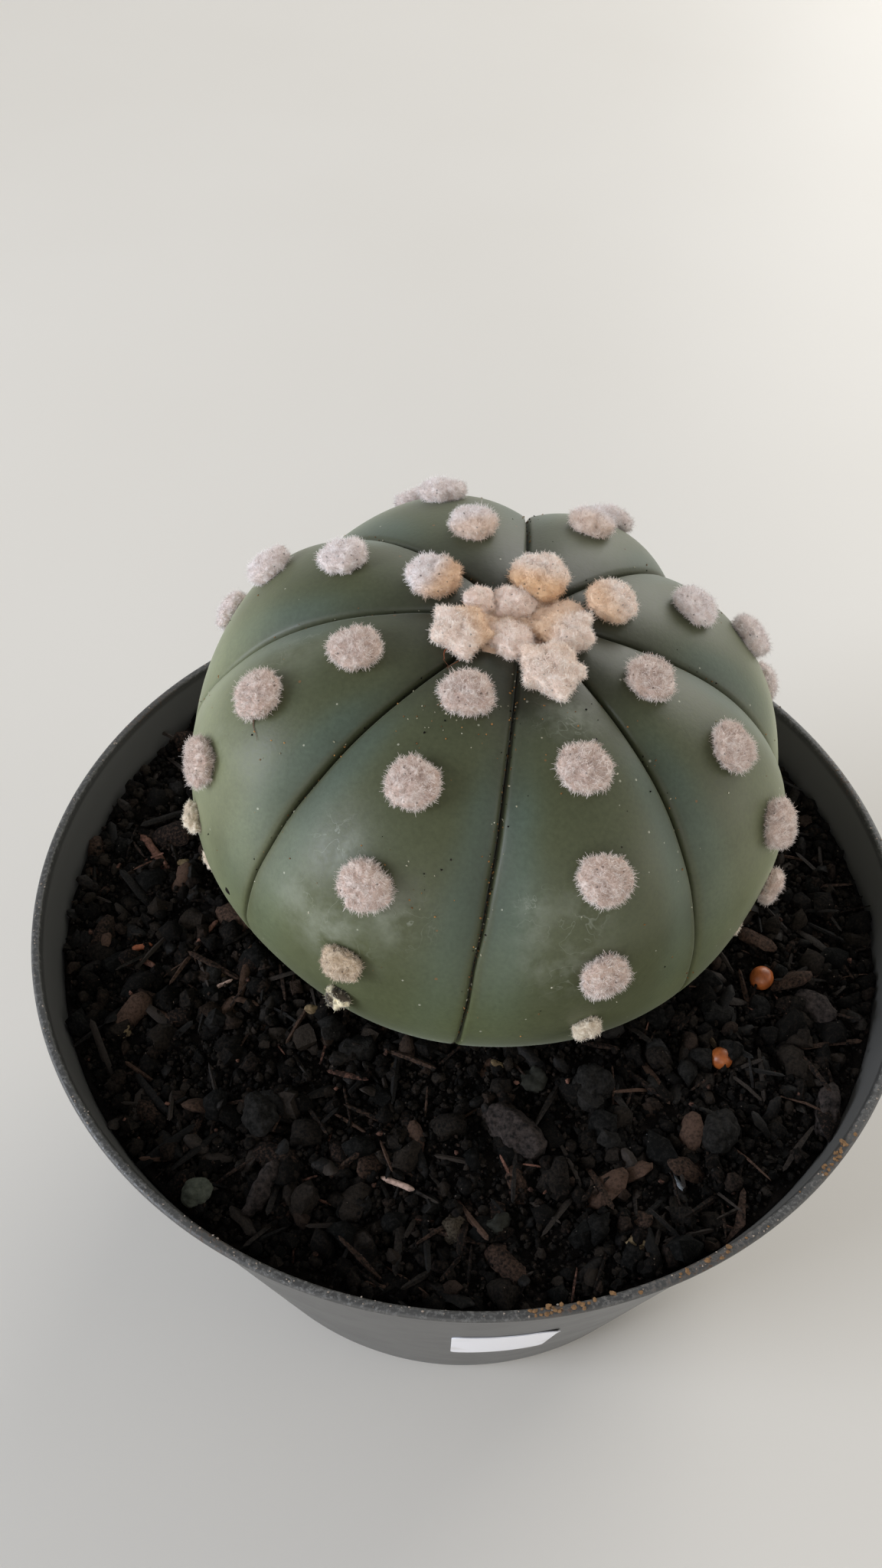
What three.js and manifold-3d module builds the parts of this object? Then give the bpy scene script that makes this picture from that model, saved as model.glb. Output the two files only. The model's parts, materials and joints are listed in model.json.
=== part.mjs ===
// A potted round star cactus: a spineless ribbed stem dotted with woolly areoles, rooted off centre in dark
// potting mix, in a shallow black plastic nursery pot. Millimetres, +Z up, origin at the centre of the pot's foot.
import * as THREE from "three";
import { mergeVertices } from "three/addons/utils/BufferGeometryUtils.js";
import Module from "manifold-3d";

const wasm = await Module();
wasm.setup();

// ---- Driving dimensions ----------------------------------------------------------------------------------------

const CLEARANCE = 0.3; // gap left between pieces that touch

const pot = {
  height: 64.5,
  lipRadius: 55, // outside of the rim, the widest part of the whole object
  lipWidth: 1.1, // rim seen from above
  lipProud: 0.3, // how far the collar stands out from the wall
  collarDepth: 3,
  lipRounding: 0.4,
  baseRadius: 40.2,
  wall: 0.8,
  floor: 1.4,
  footHeight: 2, // the floor is raised on a narrow foot ring
  footWidth: 3,
  drainHoles: 6,
  drainRadius: 3.2,
  drainCircle: 27,
};

// A blank paper sticker on the front of the pot.
const label = {
  width: 12,
  height: 18.5,
  thickness: 0.3,
  bottom: 26, // height of its lower edge above the ground
  startAzimuth: -89.5, // of its left edge, in degrees
};

const mix = {
  level: 58, // surface at the pot's wall
  mound: 1, // extra height on the pot's axis
  moundRings: [0.8, 0.6, 0.35], // shares of the pot's radius where its slope changes
};

const stem = {
  ribs: 8,
  furrows: [-136, -92, -48, -3, 46, 87, 136, 181], // azimuths in degrees; rib 1 lies between the first two
  radius: 37.7, // at the widest, on a rib's crest
  crown: 26.7, // height of the crown above the widest part
  under: 18.3, // depth of the shoulder below the widest part, mostly buried
  squareness: 2.57, // exponent of the superellipse that the crest follows above the widest part
  crestSpacing: 1.25, // above 1, the crest's points crowd towards the crown
  underSquareness: 2.32, // and below it
  furrowDepth: 3.3, // what it would be at full radius; it fades out towards the widest part
  furrowTaper: 1.25, // how fast a furrow grows shallow towards the crown
  furrowFade: [-2, 20], // heights between which a furrow fades in
  roundness: 2.2, // exponent of a rib's cross-section, from its crest to the furrow
  crease: 1, // extra depth of the sharp fold at the bottom of a furrow
  creaseFade: [-18, -11], // heights between which that fold fades in
  dip: 1.2, // the crown is slightly sunken
  dipRadius: 9,
  rootRadius: 9,
  rootLength: 14,
  rootTaper: [[0.7, 0.45], [0.3, 0.85]], // shares of its radius left at shares of its length
  centre: [1.3, 12.1, 72.9], // the stem stands towards the back of the pot
  lean: [1.2, 6.9], // tilt about X and about Y, in degrees
};

const wool = {
  firstOnRib: [14.3, 9.5, 16.2, 11.2, 22.2, 16.8, 11.1, 19.9], // distance of each row's start from the apex
  spacing: 12.5, // between tufts on one rib, near the crown
  tightening: 0.05, // loss of spacing per millimetre down the rib
  withered: { rib: 0, number: 5, distance: 55.5 }, // the dead tuft that ends its row early
  radius: 3.3,
  oldRadius: 1.7, // tufts wear small towards the soil
  wornFrom: 40,
  wornTo: 60,
  height: 0.85, // of a tuft, as a share of its radius
  clearOfSoil: 4.3,
  // The youngest ones, still crowded round the apex: azimuth, distance from it and radius.
  crown: [
    { azimuth: 213, offset: 8.2, radius: 2.8 },
    { azimuth: -26, offset: 5.4, radius: 2.8 },
    { azimuth: 72, offset: 6.4, radius: 3 },
    { azimuth: 122, offset: 2.2, radius: 1.8 },
    { azimuth: -105, offset: 4.6, radius: 1.8 },
    { azimuth: 163, offset: 5.2, radius: 1.1 },
  ],
};

// Loose pieces on the mix: where they lie, which way they point, and their length, width and thickness.
const chipOutline = { corners: 9, least: 0.42, spread: 0.08 }; // reach of a corner, as a share of the chip's size
const grainSwell = { least: 0.88, spread: 0.12 }; // the same for a grain, as a share of its half size
const barkChips = [
  { at: [6.8, -32], turn: -38, size: [8.5, 4.6, 2.2] },
  { at: [43.5, -13], turn: -35, size: [6, 3.4, 1.8] },
  { at: [43, -26.5], turn: 72, size: [7, 2.6, 1.6] },
  { at: [-21.4, -39.8], turn: 66, size: [7.8, 2.2, 1.5] },
];
const charcoalLumps = [
  { at: [15.5, -25.5], turn: 20, size: [5.2, 4.8, 3.6] },
  { at: [30, -30.5], turn: 65, size: [5.6, 4.6, 3.4] },
  { at: [-23, -31.5], turn: 110, size: [5.8, 4.4, 3.2] },
];
const gravelGrain = { at: [-28.7, -41], turn: 30, size: [3.9, 3.2, 2.8] };
const fertiliserPrills = [
  { at: [37, -9.5], radius: 1.5 },
  { at: [31, -21], radius: 1.35 },
];

const colours = {
  pot: 0x1b1c1d,
  label: 0xe6e6ec,
  mix: 0x17130f,
  stem: 0x50624b,
  wool: 0xc9bcb2,
  bark: 0x4a3a30,
  charcoal: 0x1d1d1e,
  gravel: 0x5d6458,
  prill: 0xc2622a,
};

// ---- Helpers ---------------------------------------------------------------------------------------------------

const { degToRad: radians, smoothstep, lerp } = THREE.MathUtils;

function finish(color, roughness) {
  return new THREE.MeshStandardMaterial({ color, roughness, metalness: 0 });
}

function piece(name, geometry, color, roughness) {
  const mesh = new THREE.Mesh(geometry, finish(color, roughness));
  mesh.name = name;
  return mesh;
}

// Revolves a profile of [radius, height] points about +Z.
function revolve(profile, segments) {
  const points = profile.map(([r, z]) => new THREE.Vector2(r, z));
  return new THREE.LatheGeometry(points, segments).rotateX(Math.PI / 2);
}

function solidOf(geometry) {
  const bare = geometry.clone().deleteAttribute("normal").deleteAttribute("uv");
  const merged = mergeVertices(bare, 1e-3);
  return new wasm.Manifold(
    new wasm.Mesh({
      numProp: 3,
      vertProperties: new Float32Array(merged.attributes.position.array),
      triVerts: new Uint32Array(merged.index.array),
    }),
  );
}

function geometryOf(solid) {
  const { vertProperties, triVerts } = solid.getMesh();
  const geometry = new THREE.BufferGeometry();
  geometry.setAttribute("position", new THREE.BufferAttribute(vertProperties, 3));
  geometry.setIndex(new THREE.BufferAttribute(triVerts, 1));
  geometry.computeVertexNormals();
  return geometry;
}

// The same numbers on every run, from 0 to 1.
function repeatableNoise(seed) {
  let state = seed;
  return () => {
    state = (state * 1664525 + 1013904223) % 4294967296;
    return state / 4294967296;
  };
}

// ---- Pot -------------------------------------------------------------------------------------------------------

const wallSlope = (pot.lipRadius - pot.lipProud - pot.baseRadius) / pot.height;
const floorTop = pot.footHeight + pot.floor;

function potOuterRadius(z) {
  return pot.baseRadius + wallSlope * z;
}

function potInnerRadius(z) {
  return Math.min(potOuterRadius(z) - pot.wall, pot.lipRadius - pot.lipWidth);
}

function potGeometry() {
  const round = pot.lipRounding;
  const footInner = pot.baseRadius - pot.footWidth;
  const collar = pot.height - pot.collarDepth;
  const profile = [
    [0, pot.footHeight],
    [footInner - pot.footHeight / 2, pot.footHeight],
    [footInner, 0],
    [pot.baseRadius, 0],
    [potOuterRadius(collar), collar],
    [potOuterRadius(collar + round) + pot.lipProud, collar + round],
    [pot.lipRadius, pot.height - round],
    [pot.lipRadius - round, pot.height],
    [potInnerRadius(pot.height) + round / 2, pot.height],
    [potInnerRadius(pot.height), pot.height - round / 2],
    [potInnerRadius(collar), collar],
    [potInnerRadius(floorTop), floorTop],
    [0, floorTop],
  ];
  let solid = solidOf(revolve(profile, 80));
  for (let i = 0; i < pot.drainHoles; i++) {
    const angle = ((i + 0.5) * 2 * Math.PI) / pot.drainHoles;
    const drill = new THREE.CylinderGeometry(pot.drainRadius, pot.drainRadius, 4 * pot.floor, 16)
      .rotateX(Math.PI / 2)
      .translate(
        pot.drainCircle * Math.cos(angle),
        pot.drainCircle * Math.sin(angle),
        pot.footHeight + pot.floor / 2,
      );
    solid = solid.subtract(solidOf(drill));
  }
  return geometryOf(solid);
}

// A thin plate wrapped round the pot's wall, its width along the wall's curve.
function labelGeometry() {
  const geometry = new THREE.BoxGeometry(label.width, label.thickness, label.height, 8, 1, 1);
  const position = geometry.attributes.position;
  const middle = potOuterRadius(label.bottom + label.height / 2);
  for (let i = 0; i < position.count; i++) {
    const z = label.bottom + label.height / 2 + position.getZ(i);
    const azimuth = radians(label.startAzimuth) + (position.getX(i) + label.width / 2) / middle;
    const reach = potOuterRadius(z) + CLEARANCE + label.thickness / 2 - position.getY(i);
    position.setXYZ(i, reach * Math.cos(azimuth), reach * Math.sin(azimuth), z);
  }
  geometry.computeVertexNormals();
  return geometry;
}

// ---- Stem ------------------------------------------------------------------------------------------------------

const stemFrame = new THREE.Matrix4()
  .makeRotationFromEuler(new THREE.Euler(radians(stem.lean[0]), radians(stem.lean[1]), 0, "YXZ"))
  .setPosition(...stem.centre);

// The crest line of a rib as [radius, height] from the apex to the root's tip, about the stem's own centre.
function crestLine(upperSteps, lowerSteps) {
  const line = [];
  for (let i = 0; i <= upperSteps; i++) {
    const power = 2 / stem.squareness;
    const turn = (Math.PI / 2) * (i / upperSteps) ** stem.crestSpacing;
    const radius = stem.radius * Math.sin(turn) ** power;
    const sunken = stem.dip * (1 - smoothstep(radius, 0, stem.dipRadius));
    line.push([radius, stem.crown * Math.abs(Math.cos(turn)) ** power - sunken]);
  }
  for (let i = 1; i <= lowerSteps; i++) {
    const power = 2 / stem.underSquareness;
    const turn = (Math.PI / 2) * (i / lowerSteps);
    const radius = lerp(stem.rootRadius, stem.radius, Math.abs(Math.cos(turn)) ** power);
    line.push([radius, -stem.under * Math.sin(turn) ** power]);
  }
  for (const [width, down] of [...stem.rootTaper, [0, 1]]) {
    line.push([stem.rootRadius * width, -stem.under - stem.rootLength * down]);
  }
  return line;
}

// Outward normal of a crest line at point i, in its own plane.
function crestNormal(line, i) {
  const [r0, z0] = line[Math.max(i - 1, 0)];
  const [r1, z1] = line[Math.min(i + 1, line.length - 1)];
  const length = Math.hypot(r1 - r0, z1 - z0);
  return [(z0 - z1) / length, (r1 - r0) / length];
}

// Middle azimuth of a rib and half the angle it spans, in radians.
function ribAngles(rib) {
  const start = radians(stem.furrows[rib]);
  const end = radians(stem.furrows[(rib + 1) % stem.furrows.length]);
  const half = (end > start ? end - start : end - start + 2 * Math.PI) / 2;
  return { middle: start + half, half };
}

// Depth of a furrow below the crest line at a point of that line.
function furrowDepth(radius, height) {
  return stem.furrowDepth * (radius / stem.radius) ** stem.furrowTaper * smoothstep(height, ...stem.furrowFade);
}

// Closed skin of the stem, moved outwards by grow.
function stemGeometry(grow) {
  const line = crestLine(15, 8);
  const shares = [-1, -0.92, -0.7, -0.35, 0, 0.35, 0.7, 0.92];
  const columns = stem.furrows.length * shares.length;
  const vertices = [0, 0, line[0][1] + grow];
  for (let j = 1; j < line.length - 1; j++) {
    const [radius, height] = line[j];
    const [outward, upward] = crestNormal(line, j);
    const crease = stem.crease * Math.min(1, radius / stem.dipRadius) * smoothstep(height, ...stem.creaseFade);
    for (let k = 0; k < columns; k++) {
      const share = shares[k % shares.length];
      const { middle, half } = ribAngles(Math.floor(k / shares.length));
      const azimuth = middle + share * half;
      const fold = share === -1 ? crease : 0;
      const push = grow - furrowDepth(radius, height) * Math.abs(share) ** stem.roundness - fold;
      const reach = radius + outward * push;
      vertices.push(reach * Math.cos(azimuth), reach * Math.sin(azimuth), height + upward * push);
    }
  }
  vertices.push(0, 0, line.at(-1)[1] - grow);
  const faces = [];
  const rings = line.length - 2;
  const last = rings * columns + 1;
  for (let k = 0; k < columns; k++) {
    const next = (k + 1) % columns;
    faces.push(0, 1 + k, 1 + next);
    for (let j = 0; j < rings - 1; j++) {
      const upper = 1 + j * columns;
      const lower = upper + columns;
      faces.push(upper + k, lower + k, lower + next, upper + k, lower + next, upper + next);
    }
    faces.push(last, last - columns + next, last - columns + k);
  }
  const geometry = new THREE.BufferGeometry();
  geometry.setAttribute("position", new THREE.Float32BufferAttribute(vertices, 3));
  geometry.setIndex(faces);
  geometry.computeVertexNormals();
  return geometry.applyMatrix4(stemFrame);
}

// ---- Potting mix -----------------------------------------------------------------------------------------------

function mixHeight(x, y) {
  return mix.level + mix.mound * (1 - (Math.hypot(x, y) / potInnerRadius(mix.level)) ** 2);
}

function mixGeometry() {
  const bottom = floorTop + CLEARANCE;
  const rim = potInnerRadius(mix.level) - CLEARANCE;
  const profile = [
    [0, bottom],
    [potInnerRadius(bottom) - CLEARANCE, bottom],
    [rim, mix.level],
  ];
  for (const share of mix.moundRings) profile.push([rim * share, mixHeight(rim * share, 0)]);
  profile.push([0, mixHeight(0, 0)]);
  return geometryOf(solidOf(revolve(profile, 72)).subtract(solidOf(stemGeometry(CLEARANCE))));
}

// ---- Wool tufts ------------------------------------------------------------------------------------------------

const fineCrest = crestLine(600, 200);

// Point and outward normal on a rib's crest, at a distance along it from the apex.
function crestAt(distance, azimuth) {
  let walked = 0;
  let i = 0;
  while (walked < distance) {
    walked += Math.hypot(fineCrest[i + 1][0] - fineCrest[i][0], fineCrest[i + 1][1] - fineCrest[i][1]);
    i += 1;
  }
  const [radius, height] = fineCrest[i];
  const [outward, upward] = i === 0 ? [0, 1] : crestNormal(fineCrest, i);
  const around = new THREE.Vector3(Math.cos(azimuth), Math.sin(azimuth), 0);
  const point = around.clone().multiplyScalar(radius).setZ(height);
  const normal = around.multiplyScalar(outward).setZ(upward);
  return { point, normal };
}

function tuftRadius(distance) {
  return lerp(wool.radius, wool.oldRadius, smoothstep(distance, wool.wornFrom, wool.wornTo));
}

// A low dome of wool standing on the stem's surface.
function tuft(name, { point, normal }, radius) {
  const profile = [[0, 0]];
  for (const turn of [0, 28, 56]) {
    profile.push([
      radius * Math.cos(radians(turn)),
      radius * wool.height * Math.sin(radians(turn)),
    ]);
  }
  profile.push([0, radius * wool.height]);
  const mesh = piece(name, revolve(profile, 10), colours.wool, 1);
  mesh.quaternion.setFromUnitVectors(new THREE.Vector3(0, 0, 1), normal);
  mesh.position.copy(point).addScaledVector(normal, CLEARANCE);
  return mesh;
}

function woolTufts() {
  const group = new THREE.Group();
  group.applyMatrix4(stemFrame);
  wool.crown.forEach(({ azimuth, offset, radius }, i) => {
    group.add(tuft(`crown_wool_${i + 1}`, crestAt(offset, radians(azimuth)), radius));
  });
  wool.firstOnRib.forEach((first, rib) => {
    let distance = first;
    for (let number = 1; ; number++) {
      const withered = rib === wool.withered.rib && number === wool.withered.number;
      if (withered) distance = wool.withered.distance;
      const seat = crestAt(distance, ribAngles(rib).middle);
      const height = seat.point.clone().applyMatrix4(stemFrame).z;
      if (height < mix.level + wool.clearOfSoil) break;
      group.add(tuft(`rib${rib + 1}_wool_${number}`, seat, tuftRadius(distance)));
      if (withered) break;
      distance += wool.spacing - wool.tightening * distance;
    }
  });
  return group;
}

// ---- Loose pieces on the mix -----------------------------------------------------------------------------------

function lay(mesh, [x, y], turn, depth) {
  mesh.rotation.z = radians(turn);
  mesh.position.set(x, y, mixHeight(x, y) + depth + CLEARANCE);
  return mesh;
}

// A flat splinter with a crooked outline.
function barkChip(name, { at, turn, size: [length, width, thickness] }, seed) {
  const noise = repeatableNoise(seed);
  const outline = new THREE.Shape();
  for (let i = 0; i < chipOutline.corners; i++) {
    const angle = (i / chipOutline.corners) * 2 * Math.PI;
    const swell = chipOutline.least + chipOutline.spread * noise();
    outline[i ? "lineTo" : "moveTo"](
      length * swell * Math.cos(angle),
      width * swell * Math.sin(angle),
    );
  }
  outline.closePath();
  const geometry = new THREE.ExtrudeGeometry(outline, { depth: thickness, bevelEnabled: false });
  return lay(piece(name, geometry, colours.bark, 0.9), at, turn, 0);
}

// A blocky grain with blunt corners.
function grain(name, { at, turn, size }, color, seed) {
  const noise = repeatableNoise(seed);
  const geometry = new THREE.IcosahedronGeometry(0.5, 1).deleteAttribute("normal").deleteAttribute("uv");
  const merged = mergeVertices(geometry, 1e-3);
  const position = merged.attributes.position;
  for (let i = 0; i < position.count; i++) {
    const swell = grainSwell.least + grainSwell.spread * noise();
    position.setXYZ(
      i,
      position.getX(i) * size[0] * swell,
      position.getY(i) * size[1] * swell,
      position.getZ(i) * size[2] * swell,
    );
  }
  return lay(piece(name, merged, color, 0.9), at, turn, size[2] / 2);
}

function loosePieces() {
  const group = new THREE.Group();
  barkChips.forEach((chip, i) => group.add(barkChip(`bark_chip_${i + 1}`, chip, 11 + i)));
  charcoalLumps.forEach((lump, i) => {
    group.add(grain(`charcoal_lump_${i + 1}`, lump, colours.charcoal, 31 + i));
  });
  group.add(grain("gravel_grain", gravelGrain, colours.gravel, 51));
  fertiliserPrills.forEach(({ at, radius }, i) => {
    const ball = piece(`fertiliser_prill_${i + 1}`, new THREE.SphereGeometry(radius, 12, 8), colours.prill, 0.4);
    group.add(lay(ball, at, 0, radius));
  });
  return group;
}

// ---- Assembly --------------------------------------------------------------------------------------------------

const pottedCactus = new THREE.Group();
pottedCactus.add(
  piece("pot", potGeometry(), colours.pot, 0.3),
  piece("blank_label", labelGeometry(), colours.label, 0.8),
  piece("potting_mix", mixGeometry(), colours.mix, 1),
  piece("cactus_stem", stemGeometry(0), colours.stem, 0.6),
  woolTufts(),
  loosePieces(),
);

export default pottedCactus;
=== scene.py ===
"""A potted round star cactus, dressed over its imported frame.

A spineless eight-ribbed stem dotted with woolly areoles stands in dark potting mix in a shallow black
plastic pot. Every length in the classes below is in millimetres; meshes are written in metres, in the
frame's own axes.
"""

import json
import logging
import math
import random
from dataclasses import dataclass, field
from enum import Enum
from typing import Any, ClassVar, Optional

import bmesh
import bpy
import numpy as np
from mathutils import Matrix, Vector, noise
from mathutils.bvhtree import BVHTree

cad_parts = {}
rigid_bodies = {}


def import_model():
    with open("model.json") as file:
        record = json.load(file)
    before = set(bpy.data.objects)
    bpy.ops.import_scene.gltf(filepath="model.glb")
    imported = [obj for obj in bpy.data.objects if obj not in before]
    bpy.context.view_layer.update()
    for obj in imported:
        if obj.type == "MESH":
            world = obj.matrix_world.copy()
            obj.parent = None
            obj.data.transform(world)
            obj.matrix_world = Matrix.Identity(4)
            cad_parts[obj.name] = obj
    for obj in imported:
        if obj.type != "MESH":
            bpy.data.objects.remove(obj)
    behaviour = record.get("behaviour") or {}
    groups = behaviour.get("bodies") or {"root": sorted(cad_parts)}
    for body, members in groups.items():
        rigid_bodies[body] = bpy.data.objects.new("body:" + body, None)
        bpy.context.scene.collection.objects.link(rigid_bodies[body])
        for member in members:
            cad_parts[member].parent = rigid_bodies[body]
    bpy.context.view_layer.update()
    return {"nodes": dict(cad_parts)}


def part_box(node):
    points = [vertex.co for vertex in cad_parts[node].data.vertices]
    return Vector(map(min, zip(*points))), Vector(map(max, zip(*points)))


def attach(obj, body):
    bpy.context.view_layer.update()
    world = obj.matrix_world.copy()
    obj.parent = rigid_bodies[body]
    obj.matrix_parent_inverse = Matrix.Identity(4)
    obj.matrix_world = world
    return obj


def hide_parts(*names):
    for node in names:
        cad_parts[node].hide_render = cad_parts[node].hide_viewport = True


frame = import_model()

MM = 0.001
BODY = "root"
log = logging.getLogger("potted_cactus")

Obj = bpy.types.Object
Socket = bpy.types.NodeSocket
Tree = bpy.types.NodeTree
Shape = tuple[list, list]  # vertices, and faces as lists of their numbers
ANY_WAY_UP = 3.1  # a tilt, in radians, that leaves a piece lying any way up


# ---- Small tools ---------------------------------------------------------------------------------


def linear(colour: str) -> tuple[float, float, float, float]:
    """Turns an sRGB hex colour into linear light.

    Args:
        colour: Six hex digits, such as "4d5f4a".

    Returns:
        Red, green, blue and an alpha of 1.
    """
    channels = [int(colour[i : i + 2], 16) / 255 for i in (0, 2, 4)]
    light = [c / 12.92 if c <= 0.04045 else ((c + 0.055) / 1.055) ** 2.4 for c in channels]
    return light[0], light[1], light[2], 1.0


def smooth_step(value: Any, low: float, high: float) -> Any:
    """Rises smoothly from 0 at low to 1 at high; high may be below low."""
    share = np.clip((value - low) / (high - low), 0.0, 1.0)
    return share * share * (3 - 2 * share)


def per_mm(size: float) -> float:
    """Scale of a texture on coordinates in metres whose features are size millimetres across."""
    return 1 / (size * MM)


def add_node(tree: Tree, kind: str, inputs: Optional[dict] = None, **settings: Any) -> bpy.types.Node:
    """Adds a node with its settings, values and links.

    Args:
        tree: The node tree it goes in.
        kind: The node's type name.
        inputs: From an input's name or number to a value, or to the output socket that feeds it.
        settings: The node's own properties.

    Returns:
        The new node.
    """
    node = tree.nodes.new(kind)
    for name, value in settings.items():
        setattr(node, name, value)
    for key, value in (inputs or {}).items():
        if isinstance(value, Socket):
            tree.links.new(value, node.inputs[key])
        else:
            node.inputs[key].default_value = value
    return node


def flecked(
    tree: Tree, place: Socket, colour: Any, shade: str, cell: float, radius: float, share: float, cover: float
) -> Socket:
    """Adds small dots to a colour: a cell here and there holds one.

    Args:
        tree: The material's tree.
        place: Object coordinates, in metres.
        colour: The colour so far.
        shade: The dots' sRGB hex colour.
        cell: Size of a cell, in millimetres.
        radius: Of a dot, as a share of its cell.
        share: Of the cells that hold one.
        cover: How far a dot hides what is under it.

    Returns:
        The colour with its dots.
    """
    cells = add_node(tree, "ShaderNodeTexVoronoi", {"Vector": place, "Scale": per_mm(cell)}).outputs
    near = add_node(tree, "ShaderNodeMath", {0: cells["Distance"], 1: radius}, operation="LESS_THAN")
    draw = add_node(tree, "ShaderNodeSeparateColor", {"Color": cells["Color"]})
    chosen = add_node(tree, "ShaderNodeMath", {0: draw.outputs["Red"], 1: share}, operation="LESS_THAN")
    dot = add_node(
        tree, "ShaderNodeMath", {0: near.outputs["Value"], 1: chosen.outputs["Value"]}, operation="MULTIPLY"
    )
    faded = add_node(tree, "ShaderNodeMath", {0: dot.outputs["Value"], 1: cover}, operation="MULTIPLY")
    return add_node(
        tree, "ShaderNodeMix", {"Factor": faded.outputs["Value"], "A": colour, "B": linear(shade)},
        data_type="RGBA",
    ).outputs["Result"]


def object_of(name: str, mesh: bpy.types.Mesh, finish: "Material", sharp_angle: float = 40) -> Obj:
    """Links a mesh to the scene as a smooth-shaded object at the origin.

    Args:
        name: The piece's name.
        mesh: Its mesh, in metres.
        finish: Its only finish.
        sharp_angle: Edges sharper than this many degrees stay sharp.

    Returns:
        The object.
    """
    mesh.materials.clear()
    mesh.materials.append(finish.value.material())
    mesh.shade_smooth()
    mesh.set_sharp_from_angle(angle=math.radians(sharp_angle))
    obj = bpy.data.objects.new(name, mesh)
    bpy.context.scene.collection.objects.link(obj)
    return obj


def new_mesh_object(name: str, shape: Shape, finish: "Material", sharp_angle: float = 40) -> Obj:
    """Makes an object of a shape in metres, its faces anticlockwise from outside, as object_of does."""
    mesh = bpy.data.meshes.new(name)
    mesh.from_pydata([tuple(v) for v in shape[0]], [], [tuple(f) for f in shape[1]])
    mesh.validate()
    return object_of(name, mesh, finish, sharp_angle)


def store(obj: Obj, name: str, values: Any) -> None:
    """Writes one number per vertex as a named attribute of the object's mesh."""
    attribute = obj.data.attributes.new(name, "FLOAT", "POINT")
    attribute.data.foreach_set("value", np.asarray(values, np.float32))


def settle(obj: Obj) -> Obj:
    """Turns an object with modifiers into a plain mesh with none."""
    depsgraph = bpy.context.evaluated_depsgraph_get()
    shaped = obj.evaluated_get(depsgraph)
    mesh = bpy.data.meshes.new_from_object(shaped, preserve_all_data_layers=True, depsgraph=depsgraph)
    obj.modifiers.clear()
    obj.data = mesh
    return obj


def hand_over(obj: Obj, slot: str, *nodes: str) -> None:
    """Rides a finished piece on the part's body, in place of CAD nodes."""
    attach(obj, BODY)
    if nodes:
        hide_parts(*nodes)
    log.info("%s: %d faces", obj.name, len(obj.data.polygons))


def nodes_named(start: str) -> list[str]:
    """Names of the CAD nodes that begin with start, in order."""
    return sorted(name for name in frame["nodes"] if name.startswith(start))


def polar(radius: float, turn: float, height: float) -> tuple[float, float, float]:
    """Returns the point at a radius, a turn in radians and a height."""
    return radius * math.cos(turn), radius * math.sin(turn), height


def revolve(profile: list[tuple[float, float]], segments: int) -> Shape:
    """Sweeps a profile round +Z.

    Args:
        profile: Radius and height pairs in millimetres, from the axis below, up the outside and back to it.
        segments: Steps round the circle.

    Returns:
        Its shape in metres.
    """
    vertices, rings, faces = [], [], []
    for radius, height in profile:
        if radius == 0:
            rings.append([len(vertices)] * segments)
            vertices.append((0.0, 0.0, height * MM))
            continue
        rings.append(list(range(len(vertices), len(vertices) + segments)))
        vertices += [polar(radius * MM, 2 * math.pi * k / segments, height * MM) for k in range(segments)]
    for lower, upper in zip(rings, rings[1:]):
        for k in range(segments):
            n = (k + 1) % segments
            face = list(dict.fromkeys((lower[k], lower[n], upper[n], upper[k])))
            if len(face) > 2:
                faces.append(face)
    return vertices, faces


def ring_faces(rings: int, count: int, pointed: bool, flip: bool = False) -> list[tuple]:
    """Closes a first point and the rings that follow it into a form.

    Args:
        rings: How many rings there are.
        count: Points in each.
        pointed: Whether it ends in one more point, or else in a flat face on its last ring.
        flip: Whether the rings run clockwise as seen from the first point.

    Returns:
        The faces.
    """
    faces: list[tuple] = []
    last = 1 + (rings - 1) * count
    for k in range(count):
        n = (k + 1) % count
        faces.append((0, 1 + k, 1 + n))
        faces += [(a + k, a + count + k, a + count + n, a + n) for a in range(1, last, count)]
        if pointed:
            faces.append((last + count, last + n, last + k))
    if not pointed:
        faces.append(tuple(last + k for k in reversed(range(count))))
    return [(face[0], *face[:0:-1]) for face in faces] if flip else faces


def arc(centre: tuple[float, float], radius: float, start: float, end: float, steps: int) -> list:
    """Points of a profile along a circle's arc, from start to end in degrees."""
    turns = np.radians(np.linspace(start, end, steps))
    return [(centre[0] + radius * math.cos(t), centre[1] + radius * math.sin(t)) for t in turns]


# ---- Finishes ------------------------------------------------------------------------------------


@dataclass(frozen=True)
class Finish:
    """A real material and how its surface was made."""

    name: str

    def material(self) -> bpy.types.Material:
        """Returns the finish as a Blender material, made the first time it is asked for."""
        found = bpy.data.materials.get(self.name)
        if found:
            return found
        made = bpy.data.materials.new(self.name)
        made.use_nodes = True
        tree = made.node_tree
        tree.nodes.clear()
        place = add_node(tree, "ShaderNodeTexCoord").outputs["Object"]
        shader = add_node(tree, "ShaderNodeBsdfPrincipled", self.paint(tree, place))
        add_node(tree, "ShaderNodeOutputMaterial", {"Surface": shader.outputs["BSDF"]})
        return made

    def paint(self, tree: Tree, place: Socket) -> dict[str, Any]:
        """Adds the finish's own nodes.

        Args:
            tree: The material's tree.
            place: Object coordinates, in metres.

        Returns:
            The inputs of its Principled shader.
        """
        raise NotImplementedError


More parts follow.
